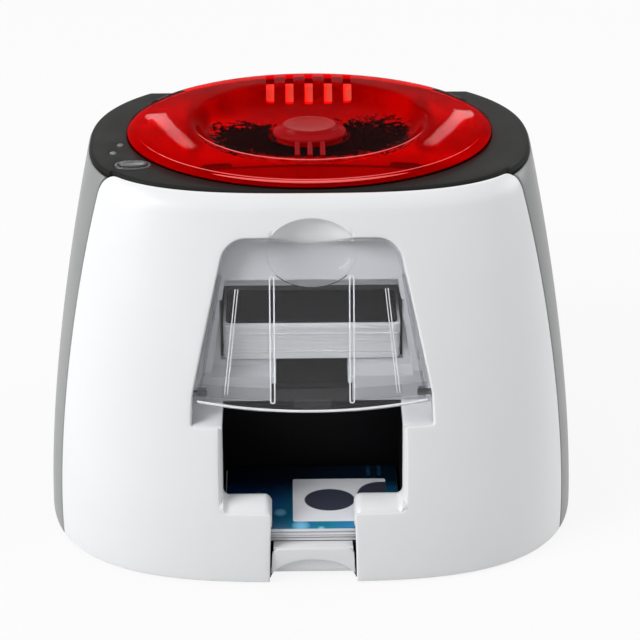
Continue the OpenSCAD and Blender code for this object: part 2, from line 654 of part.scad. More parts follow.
module head_sink() color("silver") {
    translate([-36, head_y - 6, head_top]) cube([72, 12, 2.5]);
    for (i = [0:fin_n - 1]) translate([-36 + i * 70 / (fin_n - 1), head_y - 6, head_top + 2])
        cube([2, 12, 16]);
}

ring_rx = 9.2;
ring_ry = 4.7;
button_x = 24 - half_w(front_h, 0);
button_v = 27;
module on_button() on_deck() translate([button_x, button_v, 0]) children();
module on_lenses() on_deck() {
    translate([button_x - 10.5, button_v + 12, 0]) children();
    translate([button_x - 7.5, button_v + 20, 0]) children();
}
lens_r = 1.9;
module button_ring() color("#4a4d50") on_button() difference() {
    translate([0, 0, -9]) oval(ring_rx, ring_ry, 9.5);
    translate([0, 0, -8]) oval(ring_rx - 2, ring_ry - 1.6, 20);
}
module power_button() color("#55585b") on_button() translate([0, 0, -6.6])
    oval(ring_rx - 2.3, ring_ry - 1.9, 7.8);
module status_lenses() color("#6a6e72") on_lenses() translate([0, 0, -deck_t])
    cylinder(h = deck_t + 0.15, r = lens_r);

// meshing of the gear train: teeth of each gear stand in the gaps of the one before
function mesh_phase(a, n1, p1, n2) = a + 180 + (n1 * (a - p1) - 180) / n2;
function aim(i) = atan2(-idler_drop, roller_pitch / 2);
idler_phase = [for (i = [0:2]) mesh_phase(aim(i), roller_teeth, roller_phase(i), idler_teeth)];
function roller_phase(i) = i == 0 ? 0 : mesh_phase(-aim(i), idler_teeth,
    mesh_phase(aim(i), roller_teeth, roller_phase(i - 1), idler_teeth), roller_teeth);
function gear_poly(n, phase) = let (r = pitch_r(n), q = 360 / n) [for (i = [0:n - 1])
    for (s = [[-0.28, r - 1.15 * gear_m], [-0.2, r], [-0.1, r + 0.8 * gear_m], [0.1, r + 0.8 * gear_m],
        [0.2, r], [0.28, r - 1.15 * gear_m]])
        let (t = phase + (i + s[0]) * q) [s[1] * cos(t), s[1] * sin(t)]];
// a gear on an axis along X; angles run from +Y towards +Z
module gear_at(y, z, n, phase, bore) translate([-gear_x - gear_t, y, z]) rotate([90, 0, 90])
    linear_extrude(gear_t) difference() {
    polygon(gear_poly(n, phase));
    if (bore > 0) circle(r = bore);
}
module roller(i, r, len) {
    translate([0, roller_y(i), shaft_z]) {
        along_x(-len / 2, len, r);
        along_x(-gear_x - gear_t - 1, gear_x + gear_t + 1 + frame_out + 1, shaft_d / 2);
    }
    gear_at(roller_y(i), shaft_z, roller_teeth, roller_phase(i), 0);
}
module pick_roller() color("#4a4a4c") roller(0, roller_r, 74);
module feed_roller() color("#4a4a4c") roller(1, roller_r, 88);
module platen_roller() color("#2b2b2d") roller(2, roller_r, 90);
module exit_roller() color("#4a4a4c") roller(3, roller_r, 88);
module idler(i) gear_at(roller_y(i) + roller_pitch / 2, shaft_z - idler_drop, idler_teeth,
    idler_phase[i], idler_stud / 2 + run);
module idler_gear_a() color("white") idler(0);
module idler_gear_b() color("white") idler(1);
module idler_gear_c() color("white") idler(2);
motor_shaft = 3;
motor_x = gear_x + gear_t + 2;
bracket_t = 2;
module motor_pinion() color("#c9a227") {
    gear_at(pinion_y, pinion_z, pinion_teeth, mesh_phase(pinion_dir, roller_teeth, roller_phase(3),
        pinion_teeth), 0);
    translate([0, pinion_y, pinion_z]) along_x(-motor_x - bracket_t - 8, bracket_t + 10, motor_shaft / 2);
}
motor_r = 17.5;
motor_len = 30;
module drive_motor() color("#5a5d60") difference() {
    translate([0, pinion_y, pinion_z]) along_x(-motor_x - bracket_t - motor_len, motor_len, motor_r);
    translate([0, pinion_y, pinion_z]) along_x(-motor_x - bracket_t - 9, 10, motor_shaft / 2 + run);
}
module motor_bracket() color("silver") difference() {
    translate([-motor_x - bracket_t, pinion_y - motor_r - 3, plate_top])
        cube([bracket_t, 2 * motor_r + 6, pinion_z + motor_r + 3 - plate_top]);
    translate([0, pinion_y, pinion_z]) along_x(-motor_x - bracket_t - 1, bracket_t + 2,
        motor_shaft / 2 + 2);
}

module spool(y, r) translate([0, y, spool_z]) {
    along_x(-43, 86, r);
    along_x(-frame_out - 1, 2 * frame_out + 2, spool_shaft);
}
takeup_r = 8;
module ribbon_supply() color("#141416") spool(supply_y, ribbon_d / 2);
module ribbon_takeup() color("#141416") spool(takeup_y, takeup_r);
film_t = 0.25;
film_z = path_z + 1.1;
film_pts = [[supply_y + 0.72 * (ribbon_d / 2 + 0.5), spool_z - 0.72 * (ribbon_d / 2 + 0.5)],
    [card_back + 6.5, stack_top + 1], [head_y - 12, film_z],
    [head_y + 12, film_z], [takeup_y - 0.93 * (takeup_r + 0.5), spool_z - 0.4 * (takeup_r + 0.5)]];
module ribbon_film() color("#141416") side_prism(-42, 84, concat(film_pts,
    [for (i = [4:-1:0]) film_pts[i] + [i < 2 ? 0.2 : (i > 3 ? -0.2 : 0), i < 2 ? film_t : film_t]]));

board_z = 10;
board_x = frame_out + 1;
board_y = -40;
board_w = 54;
board_l = 92;
module main_board() color("#2e6b3c") {
    translate([board_x, board_y, board_z]) cube([board_w, board_l, 1.6]);
    translate([board_x + 7.5, board_y + 10, board_z + 1.5]) cube([16, 16, 2.4]);
    translate([board_x + 29.5, board_y + 20, board_z + 1.5]) cube([12, 20, 5]);
    for (i = [0:2]) translate([board_x + 11.5 + 12 * i, board_y + 70, board_z + 1.5])
        cylinder(h = 11, r = 4);
}
port_back = case_front_rear(port_x) - 1.2;
inlet_back = case_front_rear(inlet_x) - 1.2;
function case_front_rear(x) = let (z = inlet_z, n = back_pow(z))
    mid_y(z) + (back_y(z, 0) - mid_y(z)) * pow(1 - pow(x / half_w(z, 0), n), 1 / n);
jack_r = 2.75;
module power_inlet() color("#1d1d1f") difference() {
    union() {
        translate([inlet_x - 5.7, inlet_back - 14, inlet_z - 5.7]) cube([11.4, 14, 11.4]);
        translate([inlet_x - 5.7, inlet_back - 14, plate_top]) cube([11.4, 8, inlet_z - 5 - plate_top]);
    }
    translate([inlet_x, inlet_back - 10, inlet_z]) rotate([-90, 0, 0]) cylinder(h = 20, r = jack_r);
}
module usb_port() color("silver") difference() {
    union() {
        translate([port_x - 6.2, port_back - 16, inlet_z - 5.7]) cube([12.4, 16, 11]);
        translate([port_x - 6.2, port_back - 16, plate_top]) cube([12.4, 10, inlet_z - 5 - plate_top]);
    }
    translate([port_x - 4.2, port_back - 10, inlet_z - 4]) cube([8.4, 20, 7.6]);
}

front_shell();
side_panel_left();
side_panel_right();
rear_shell();
deck_bezel();
base_plate();
feet();
feed_surround();
card_magazine();
feed_stack();
output_bin();
tray_lip();
tray_stack();
printed_card();
eject_ramp();
feeder_flap();
flap_pins();
frame_left();
frame_right();
tie_rods();
rear_bridge();
hinge_pins();
lid_dome();
lid_knuckles();
lid_frame();
press_knob();
print_head();
head_sink();
power_button();
button_ring();
status_lenses();
pick_roller();
feed_roller();
platen_roller();
exit_roller();
idler_gear_a();
idler_gear_b();
idler_gear_c();
motor_pinion();
drive_motor();
motor_bracket();
ribbon_supply();
ribbon_takeup();
ribbon_film();
main_board();
power_inlet();
usb_port();
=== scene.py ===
import json
import math
from types import SimpleNamespace

import bmesh
import bpy
import numpy as np
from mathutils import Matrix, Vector
from mathutils.geometry import delaunay_2d_cdt


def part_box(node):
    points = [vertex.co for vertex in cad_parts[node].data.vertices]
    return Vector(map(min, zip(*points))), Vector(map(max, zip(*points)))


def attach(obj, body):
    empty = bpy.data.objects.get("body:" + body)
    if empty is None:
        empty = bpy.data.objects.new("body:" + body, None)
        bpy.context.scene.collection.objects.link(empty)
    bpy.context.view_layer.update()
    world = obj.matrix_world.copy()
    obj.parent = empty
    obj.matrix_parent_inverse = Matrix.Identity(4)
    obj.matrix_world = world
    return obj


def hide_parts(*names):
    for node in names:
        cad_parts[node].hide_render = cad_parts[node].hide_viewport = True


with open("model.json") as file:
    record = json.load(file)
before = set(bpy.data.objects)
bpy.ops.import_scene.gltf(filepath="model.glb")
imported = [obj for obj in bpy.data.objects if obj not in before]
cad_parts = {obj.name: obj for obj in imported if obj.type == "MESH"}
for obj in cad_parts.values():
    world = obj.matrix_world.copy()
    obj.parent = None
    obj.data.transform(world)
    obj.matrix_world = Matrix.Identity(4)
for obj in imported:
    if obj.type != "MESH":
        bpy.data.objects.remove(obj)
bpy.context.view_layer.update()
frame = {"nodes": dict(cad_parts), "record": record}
print("frame loaded:", len(frame["nodes"]), "parts")

# the moulded case, in millimetres; every shell below is cut from this one form
printerCase = {
    "width": 270, "depth": 206, "frontHeight": 179, "frontLean": 66, "sideLean": 25, "rearLean": 13,
    "foot": 1.2, "deckTilt": 4, "crease": 175, "creaseSoftness": 2.4, "midShift": 24,
    "frontPower": 3.06, "rearPowerLow": 4, "rearPowerHigh": 2.2,
    "seamY": -14, "seamSlope": 0.26, "rearSeamY": 70, "seamGap": 0.15,
}
deckTilt = math.radians(printerCase["deckTilt"])
deckRise = math.tan(deckTilt)
unroll = 110.0  # millimetres of skin for each radian around the case


def softRamp(t, width):
    t = np.asarray(t, float)
    return np.where(t < -width, 0, np.where(t > width, t, (t + width) ** 2 / (4 * width)))


def caseSizes(z):
    c = printerCase
    z = np.asarray(z, float)
    up = np.maximum(z, 0) / c["frontHeight"]
    ramp = softRamp(z - c["crease"], c["creaseSoftness"])
    half = c["width"] / 2 - c["sideLean"] * up ** 1.63
    leaned = (np.maximum(z - ramp, 0) / c["frontHeight"]) ** 1.4
    front = -c["depth"] / 2 + c["frontLean"] * leaned + 1.5 * ramp
    back = c["depth"] / 2 - c["rearLean"] * up ** 2
    rearPower = c["rearPowerLow"] + (c["rearPowerHigh"] - c["rearPowerLow"]) * np.minimum(up, 1)
    return half, c["midShift"] * up, front, back, rearPower


def casePoint(phi, z):
    half, mid, front, back, rearPower = caseSizes(z)
    cs, sn = np.cos(phi), np.sin(phi)
    reach = np.where(sn < 0, mid - front, back - mid)
    power = np.where(sn < 0, printerCase["frontPower"], rearPower)
    r = (np.abs(cs / half) ** power + np.abs(sn / reach) ** power) ** (-1 / power)
    return np.stack([r * cs, mid + r * sn, np.broadcast_to(z, r.shape)], -1)


def caseNormal(phi, z):
    step = 0.002
    along = casePoint(phi + step, z) - casePoint(phi - step, z)
    upward = casePoint(phi, z + 0.2) - casePoint(phi, z - 0.2)
    n = np.cross(along, upward)
    return n / np.linalg.norm(n, axis=-1, keepdims=True)


def caseSkin(phi, z, depth):
    return casePoint(phi, z) - caseNormal(phi, z) * np.asarray(depth, float)[..., None]


def caseSide(points, depth):  # the same for places on the unrolled skin
    return caseSkin(points[:, 0] / unroll, points[:, 1], depth)


def frontPhi(x, z):
    half, mid, front, _, _ = caseSizes(z)
    power = printerCase["frontPower"]
    y = -(mid - front) * (1 - np.abs(np.asarray(x, float) / half) ** power) ** (1 / power)
    return np.arctan2(y, x)


def rearPhi(x, z):
    half, mid, _, back, power = caseSizes(z)
    y = (back - mid) * (1 - np.abs(np.asarray(x, float) / half) ** power) ** (1 / power)
    return np.arctan2(y, x)


def phiAtDepth(y, z, side):  # where the case's side passes a plane across it
    half, mid, front, back, rearPower = caseSizes(z)
    reach = np.where(y < mid, mid - front, back - mid)
    power = np.where(y < mid, printerCase["frontPower"], rearPower)
    x = half * (1 - np.minimum(np.abs((y - mid) / reach), 1) ** power) ** (1 / power)
    return np.arctan2(y - mid, side * x)


def deckHeight(y):
    return printerCase["frontHeight"] + (y - deckFront) * deckRise


def leanOf(z):  # how far back the middle of the front is, below the crease
    return -printerCase["depth"] / 2 + printerCase["frontLean"] * (z / printerCase["frontHeight"]) ** 1.4


deckFront = leanOf(printerCase["crease"]) + 6
seamY = lambda z: printerCase["seamY"] - (printerCase["frontHeight"] - z) * printerCase["seamSlope"]


def heightOnDeck(phi, drop=0.0):  # where the case's side meets a plane under the deck's
    z = np.full(np.shape(phi), printerCase["frontHeight"] + 0.0)
    for _ in range(30):
        z = 0.5 * z + 0.5 * (deckHeight(casePoint(phi, z)[..., 1]) - drop)
    return z


# front edge of a side panel, from the foot to the deck's underside
def seamLine(side, dropped=0.0, gap=0.0, top=176, count=50, margin=0.3):
    phiOf = lambda z: float(phiAtDepth(seamY(z) + gap, z, side))
    pts = [(phiOf(z), z) for z in np.linspace(printerCase["foot"], top, count)]
    return trimmedAt(pts, phiOf, dropped, margin)


def trimmedAt(pts, phiOf, dropped, margin=0.3):
    atDeck = lambda p: float(heightOnDeck(np.array([p]), dropped)[0])
    line = [(p, z) for p, z in pts if z < atDeck(p) - margin]
    p, z = line[-1]
    for _ in range(20):
        z = atDeck(p)
        p = phiOf(z)
    return line + [(p, z)]


def spaced(points, step):  # points round a closed line, no further apart than the step
    points = np.asarray(points, float)
    out = []
    for a, b in zip(points, np.roll(points, -1, 0)):
        n = max(1, int(math.ceil(np.linalg.norm(b - a) / step)))
        out += [a + (b - a) * k / n for k in range(n)]
    return np.array(out)


# rounds the corners of a closed outline; radius may be one for each corner
def rounded(points, radius, steps=5):
    points = np.asarray(points, float)
    radii = radius if hasattr(radius, "__len__") else [radius] * len(points)
    out = []
    for i, p in enumerate(points):
        r = radii[i]
        a, b = points[i - 1] - p, points[(i + 1) % len(points)] - p
        la, lb = np.linalg.norm(a), np.linalg.norm(b)
        a, b = a / la, b / lb
        turn = math.acos(max(-1, min(1, float(a @ b))))
        if r <= 0 or turn > 3.1:
            out.append(p)
            continue
        cut = min(r / math.tan(turn / 2), 0.48 * la, 0.48 * lb)
        r = cut * math.tan(turn / 2)
        centre = p + (a + b) / np.linalg.norm(a + b) * r / math.sin(turn / 2)
        s, e = p + a * cut - centre, p + b * cut - centre
        total = math.atan2(s[0] * e[1] - s[1] * e[0], s @ e)
        for k in range(steps + 1):
            c, n = math.cos(total * k / steps), math.sin(total * k / steps)
            out.append(centre + np.array([s[0] * c - s[1] * n, s[0] * n + s[1] * c]))
    return np.array(out)


def area(loop):
    x, y = loop[:, 0], loop[:, 1]
    return 0.5 * float(np.sum(x * np.roll(y, -1) - y * np.roll(x, -1)))


def leftOf(v):
    v = v / np.maximum(np.linalg.norm(v, axis=1, keepdims=True), 1e-9)
    return np.stack([-v[:, 1], v[:, 0]], 1)


def inset(loop, amount):  # moves a loop into the material, which lies on its left
    a, b = leftOf(loop - np.roll(loop, 1, 0)), leftOf(np.roll(loop, -1, 0) - loop)
    n = (a + b) / np.maximum(1 + np.sum(a * b, 1, keepdims=True), 0.6)
    return loop + n * amount


def insideLoops(points, loops):
    odd = np.zeros(len(points), bool)
    for loop in loops:
        a, b = loop, np.roll(loop, -1, 0)
        for p, q in zip(a, b):
            if p[1] == q[1]:
                continue
            crosses = (p[1] > points[:, 1]) != (q[1] > points[:, 1])
            odd ^= crosses & (points[:, 0] < p[0] + (points[:, 1] - p[1]) * (q[0] - p[0]) / (q[1] - p[1]))
    return odd


def farFrom(points, loops, distance):
    keep = np.ones(len(points), bool)
    for loop in loops:
        a, b = loop, np.roll(loop, -1, 0)
        for p, q in zip(a, b):
            d = q - p
            t = np.clip(((points - p) @ d) / max(float(d @ d), 1e-12), 0, 1)
            keep &= np.hypot(*(points - p - t[:, None] * d).T) > distance
    return keep


def triangulated(loops, spacing, extra=()):
    whole = np.concatenate(loops)
    low, high = whole.min(0), whole.max(0)
    rows = np.arange(low[1], high[1], spacing * 0.87)
    columns = np.arange(low[0], high[0], spacing)
    grid = np.array([[x + (spacing / 2 if j % 2 else 0), y] for j, y in enumerate(rows) for x in columns])
    grid = grid[insideLoops(grid, loops)]
    grid = grid[farFrom(grid, loops, spacing * 0.55)]
    points, edges, start = [], [], 0
    for loop in loops:
        n = len(loop)
        points += [tuple(p) for p in loop]
        edges += [(start + i, start + (i + 1) % n) for i in range(n)]
        start += n
    for line in extra:  # creases inside the skin
        line = np.asarray(line, float)
        points += [tuple(p) for p in line]
        edges += [(start + i, start + i + 1) for i in range(len(line) - 1)]
        start += len(line)
        grid = grid[farFrom(grid, [np.concatenate([line, line[::-1]])], spacing * 0.5)]
    points += [tuple(p) for p in grid]
    verts, _, faces, origin, _, _ = delaunay_2d_cdt([Vector(p) for p in points], edges, [], 0, 1e-6, True)
    flat = np.array([tuple(v) for v in verts])
    tris = np.array([f for f in faces if len(f) == 3])
    tris = tris[insideLoops(flat[tris].mean(1), loops)]
    where = {}
    for new, olds in enumerate(origin):
        for old in olds:
            where[old] = new
    return flat, tris, where


# verts and faces of a curved panel with rolled edges; surface(points, depth) gives its places
def trimmedSkin(loops, surface, thickness, roll, spacing=3.0, edgeStep=1.6, rollSteps=4, extra=()):
    loops = [spaced(l, edgeStep) for l in loops]
    loops = [l if (area(l) > 0) == (i == 0) else l[::-1] for i, l in enumerate(loops)]
    rolls = list(roll) if hasattr(roll, "__len__") else [roll] * len(loops)
    inner = [inset(l, r) for l, r in zip(loops, rolls)]
    flat, tris, where = triangulated(inner, spacing, extra)
    n = len(flat)
    verts = [surface(flat, np.zeros(n)), surface(flat, np.full(n, thickness))]
    faces = [tuple(t) for t in tris] + [tuple(t[::-1] + n) for t in tris]
    base, start = 2 * n, 0
    for loop, off, roll in zip(loops, inner, rolls):
        m = len(loop)
        ringIds = [[where[start + i] for i in range(m)]]
        for k in range(1, rollSteps + 1):
            a = math.pi / 2 * k / rollSteps
            verts.append(surface(off + (loop - off) * math.sin(a), np.full(m, roll * (1 - math.cos(a)))))
            ringIds.append(list(range(base, base + m)))
            base += m
        verts.append(surface(loop, np.full(m, thickness)))
        ringIds.append(list(range(base, base + m)))
        base += m
        ringIds.append([where[start + i] + n for i in range(m)])
        for r0, r1 in zip(ringIds, ringIds[1:]):
            faces += [(r0[i], r1[i], r1[(i + 1) % m], r0[(i + 1) % m]) for i in range(m)]
        start += m
    return np.concatenate(verts), faces


def finished(name, verts, faces, body, slot, replaces=(), sharp=38, look=None):
    mesh = bpy.data.meshes.new(name)
    faces = [tuple(int(i) for i in f) for f in faces]
    mesh.from_pydata([tuple(v * 0.001) for v in np.asarray(verts, float)], [], faces)
    finishedMesh(name, mesh, body, slot, replaces, sharp, look)


def slotLook(slot):  # shell_white is finished in shellWhite
    first, second = slot.split("_")
    return first + second.title()


def finishedMesh(name, mesh, body, slot, replaces=(), sharp=38, look=None, flip=True):
    bm = bmesh.new()
    bm.from_mesh(mesh)
    bmesh.ops.remove_doubles(bm, verts=bm.verts, dist=1e-6)
    bmesh.ops.dissolve_degenerate(bm, edges=bm.edges, dist=1e-7)
    if flip:
        bmesh.ops.recalc_face_normals(bm, faces=bm.faces)
    bm.to_mesh(mesh)
    bm.free()
    mesh.validate()
    mesh.shade_smooth()
    mesh.set_sharp_from_angle(angle=math.radians(sharp))
    thing = bpy.data.objects.new(name, mesh)
    bpy.context.scene.collection.objects.link(thing)
    mesh.materials.clear()
    mesh.materials.append(finish[look or slotLook(slot)])
    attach(thing, body)
    if replaces:
        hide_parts(*replaces)


def joined(parts):  # several (verts, faces) as one
    verts, faces, base = [], [], 0
    for v, f in parts:
        verts.append(np.asarray(v, float))
        faces += [tuple(i + base for i in face) for face in f]
        base += len(v)
    return np.concatenate(verts), faces


def sweepGrid(rings, closedAlong=False, caps=False):  # rows of closed rings, joined by faces
    rings = np.asarray(rings, float)
    rows, cols = rings.shape[:2]
    faces = []
    for i in range(rows if closedAlong else rows - 1):
        for j in range(cols):
            a, b = i * cols + j, i * cols + (j + 1) % cols
            c, d = ((i + 1) % rows) * cols + (j + 1) % cols, ((i + 1) % rows) * cols + j
            faces.append((a, b, c, d))
    if caps:
        faces += [tuple(range(cols))[::-1], tuple((rows - 1) * cols + j for j in range(cols))]
    return rings.reshape(-1, 3), faces


# a bar between two points with a rolled top; across and upward are unit directions
def roundedBar(start, end, width, height, across, upward, bevel=0.4, steps=5):
    across, upward = np.asarray(across, float), np.asarray(upward, float)
    profile = []
    for k in range(steps + 1):
        t = math.pi / 2 * k / steps
        profile.append((width / 2 - bevel + bevel * math.cos(t), height - bevel + bevel * math.sin(t)))
    profile = [(width / 2, 0)] + profile + [(-x, y) for x, y in profile[::-1]] + [(-width / 2, 0)]
    rows = [[np.asarray(p, float) + across * x + upward * y for x, y in profile] for p in (start, end)]
    return sweepGrid(rows, caps=True)


def fullTurn(count):
    return np.linspace(0, 2 * math.pi, count, endpoint=False)


def arc(a, b, start, end, count):
    return [(a * math.cos(t), b * math.sin(t)) for t in np.linspace(start, end, count)]


def rectangle(half, low, high):
    return [(-half, low), (half, low), (half, high), (-half, high)]


def levelPlate(height):  # a skin that lies level, with its top at a height
    return lambda q, d: np.stack([q[:, 0], q[:, 1], height - d], -1)


def uprightPlate(y):  # a skin that stands across the case, facing the front
    return lambda q, d: np.stack([q[:, 0], y + d, q[:, 1]], -1)


def nodeTree(name):  # a new material, with what the functions below build on
    material = bpy.data.materials.new(name)
    material.use_nodes = True
    nodes, links = material.node_tree.nodes, material.node_tree.links
    place = nodes.new("ShaderNodeTexCoord")
    return SimpleNamespace(material=material, nodes=nodes, links=links, shader=nodes["Principled BSDF"],
        place=place)


def put(t, socket, value):  # links another node's output, or sets a plain value
    if isinstance(value, bpy.types.NodeSocket):
        t.links.new(value, socket)
    else:
        socket.default_value = value


def feed(t, label, value):
    put(t, t.shader.inputs[label], value)


def mottle(t, scale, detail=4.0, stretch=(1, 1, 1), rough=0.55):
    mapping, noise = t.nodes.new("ShaderNodeMapping"), t.nodes.new("ShaderNodeTexNoise")
    mapping.inputs["Scale"].default_value = stretch
    t.links.new(t.place.outputs["Object"], mapping.inputs["Vector"])
    for label, value in (("Scale", scale), ("Detail", detail), ("Roughness", rough)):
        noise.inputs[label].default_value = value
    t.links.new(mapping.outputs["Vector"], noise.inputs["Vector"])
    return noise.outputs["Fac"]


def ranged(t, source, low, high, fromLow=0.3, fromHigh=0.7):
    node = t.nodes.new("ShaderNodeMapRange")
    for label, value in (("From Min", fromLow), ("From Max", fromHigh), ("To Min", low), ("To Max", high)):
        node.inputs[label].default_value = value
    t.links.new(source, node.inputs["Value"])
    return node.outputs["Result"]


def blended(t, factor, first, second):
    mix = t.nodes.new("ShaderNodeMix")
    mix.data_type = "RGBA"
    for socket, value in ((mix.inputs[6], first), (mix.inputs[7], second)):
        put(t, socket, value if isinstance(value, bpy.types.NodeSocket) else (*value[:3], 1))
    put(t, mix.inputs[0], factor)
    return mix.outputs[2]


def clouded(t, scale, first, second, detail=4.0, stretch=(1, 1, 1)):  # two colours in soft clouds
    return blended(t, ranged(t, mottle(t, scale, detail, stretch), 0, 1), first, second)


def bumped(t, height, strength, distance=0.0002):
    bump = t.nodes.new("ShaderNodeBump")
    bump.inputs["Strength"].default_value = strength
    bump.inputs["Distance"].default_value = distance
    t.links.new(height, bump.inputs["Height"])
    feed(t, "Normal", bump.outputs["Normal"])


def maths(t, kind, a, b=0.0, c=0.0):
    node = t.nodes.new("ShaderNodeMath")
    node.operation = kind
    for socket, value in zip(node.inputs, (a, b, c)):
        put(t, socket, value)
    return node.outputs[0]


def coords(t):
    apart = t.nodes.new("ShaderNodeSeparateXYZ")
    t.links.new(t.place.outputs["Object"], apart.inputs[0])
    return apart.outputs


def normalUp(t):
    geometry, apart = t.nodes.new("ShaderNodeNewGeometry"), t.nodes.new("ShaderNodeSeparateXYZ")
    t.links.new(geometry.outputs["True Normal"], apart.inputs[0])
    return apart.outputs[2]


def mixedShaders(t, factor, first, second, output="Material Output"):
    mix = t.nodes.new("ShaderNodeMixShader")
    for socket, source in zip(mix.inputs, (factor, first, second)):
        t.links.new(source, socket)
    t.links.new(mix.outputs["Shader"], t.nodes[output].inputs["Surface"])


# 1 inside a rounded patch seen from above, 0 outside; sizes in metres
def patch(t, centre, half, power=2.0, ragged=0.0, scale=300.0, soft=0.12):
    xyz = coords(t)
    terms = []
    for axis in (0, 1):
        offset = maths(t, "SUBTRACT", xyz[axis], centre[axis])
        share = maths(t, "DIVIDE", maths(t, "ABSOLUTE", offset), half[axis])
        terms.append(maths(t, "POWER", share, power))
    total = maths(t, "ADD", *terms)
    if ragged:
        cloud = maths(t, "SUBTRACT", mottle(t, scale, 6, (1, 1, 1), 0.7), 0.5)
        total = maths(t, "ADD", total, maths(t, "MULTIPLY", cloud, ragged))
    return ranged(t, total, 1.0, 0.0, 1 - soft, 1 + soft)


def mouldedPlastic(t, colour, shade=0.9, roughness=(0.3, 0.4), grain=900, bump=0.05, specular=0.5, dust=0.0):
    tone = clouded(t, 14, [c * shade for c in colour], colour)
    if dust:
        pale = [min(1, c * 1.5 + 0.03) for c in colour]
        tone = blended(t, ranged(t, mottle(t, 160, 6), 0, dust, 0.52, 0.75), tone, pale)
    feed(t, "Base Color", tone)
    feed(t, "Roughness", ranged(t, mottle(t, 60), *roughness))
    feed(t, "Specular IOR Level", specular)
    bumped(t, mottle(t, grain, 2), bump)


def metalFinish(t, colour, roughness=(0.25, 0.4), brushed=(1, 1, 1), worn=None):
    lines = mottle(t, 300, 5, brushed)
    tone = blended(t, ranged(t, lines, 0, 1), [c * 0.82 for c in colour], colour)
    if worn:
        tone = blended(t, ranged(t, mottle(t, 25, 6), 0, 0.6, 0.5, 0.7), tone, worn)
    feed(t, "Base Color", tone)
    feed(t, "Roughness", ranged(t, lines, *roughness))
    feed(t, "Metallic", 1.0)
    bumped(t, lines, 0.06)


# tinted see-through plastic; lamps reach what is behind it
def clearPlastic(t, colour, shade, through, roughness, lampTint, ior=1.49, upTint=None):
    tone = clouded(t, 18, shade, colour)
    # painted highlight: faces that look straight up turn paler, standing in for the sheen on the knob's top
    if upTint:
        tone = blended(t, ranged(t, normalUp(t), 0, 1, 0.93, 0.975), tone, upTint)
    feed(t, "Base Color", tone)
    feed(t, "Roughness", ranged(t, mottle(t, 40), *roughness))
    feed(t, "Transmission Weight", through)
    feed(t, "IOR", ior)
    bumped(t, mottle(t, 30, 2), 0.03, 0.0004)
    lamp = t.nodes.new("ShaderNodeBsdfTransparent")
    lamp.inputs["Color"].default_value = (*lampTint, 1)
    shadowRay = t.nodes.new("ShaderNodeLightPath").outputs["Is Shadow Ray"]
    mixedShaders(t, shadowRay, t.shader.outputs["BSDF"], lamp.outputs["BSDF"])


def rubberFinish(t, colour):
    feed(t, "Base Color", clouded(t, 45, colour, [c * 1.5 + 0.01 for c in colour], 5))
    feed(t, "Roughness", ranged(t, mottle(t, 120), 0.62, 0.82))
    bumped(t, mottle(t, 1400, 3), 0.2)


def cardEdgeFinish(t, colour, seamFrom=0.0, seamStep=0.0):  # the stacked cards show as fine lines of painted shade in the gaps between them
    tone = clouded(t, 35, [c * 0.93 for c in colour], colour, 3, (1, 1, 30))
    if seamStep:
        # painted shade: a dark line at each gap between cards, on their sides only
        height = maths(t, "MULTIPLY_ADD", mottle(t, 18, 2, (1, 1, 0.2)), 0.0007, coords(t)[2])
        share = maths(t, "DIVIDE", maths(t, "SUBTRACT", height, seamFrom), seamStep)
        gapShade = ranged(t, maths(t, "FRACT", share), 0.9, 0.0, 0.2, 0.34)
        side = maths(t, "LESS_THAN", normalUp(t), 0.5)
        tone = blended(t, maths(t, "MULTIPLY", gapShade, side), tone, (0.17, 0.18, 0.24))
    feed(t, "Base Color", tone)
    feed(t, "Roughness", ranged(t, mottle(t, 50), 0.28, 0.36))
    bumped(t, mottle(t, 500, 2), 0.03)


# the sheet under the lid is painted with light and shade: the works in shade, deeper shade at the back, front
# and ends, lit walls under the slots
underlayer = {  # metres; places are across, and along from the middle of the lid
    "middle": 0.0264, "red": ((0.16, 0.0006, 0.0012), (0.37, 0.0016, 0.003)), "dark": (0.002, 0.0003, 0.0003),
    "patches": (  # painted dark patches for the works below in shade: place, half sizes, power, raggedness, scale
        ((-0.031, -0.004), (0.021, 0.0165), 2.2, 5.5, 300), ((0.031, -0.002), (0.023, 0.019), 2.2, 5.5, 320),
        ((0.0, -0.013), (0.026, 0.009), 3, 2.2, 420), ((0.0, 0.009), (0.016, 0.006), 2, 3.0, 420),
        ((-0.045, -0.0405), (0.008, 0.0022), 4, 2.4, 260), ((0.046, -0.0405), (0.008, 0.0022), 4, 2.4, 260),
        ((0.0, -0.0425), (0.05, 0.0009), 4, 3.0, 300)),
    "shades": (  # share, from, to, colour: painted shade, deeper towards the back and the front
        (0.75, 0.012, 0.04, (0.12, 0.0, 0.002)), (0.72, -0.031, -0.043, (0.12, 0.0, 0.002)),
        (0.8, 0.044, 0.053, (0.075, 0.0, 0.002))),
    # painted shade at the bowl's two ends
    "endsOfBowl": 0.056, "endColour": (0.16, 0.0008, 0.0015),
    "slotPitch": 0.0099, "slotHalf": 0.0022,
    # painted light and shade under the slots, each along, half length, colour: a dark band at the back, a
    # pale lit wall in front
    "slotWalls": ((0.0475, 0.0042, (0.1, 0.0, 0.002)), (0.0379, 0.0057, (0.75, 0.075, 0.048))),
}


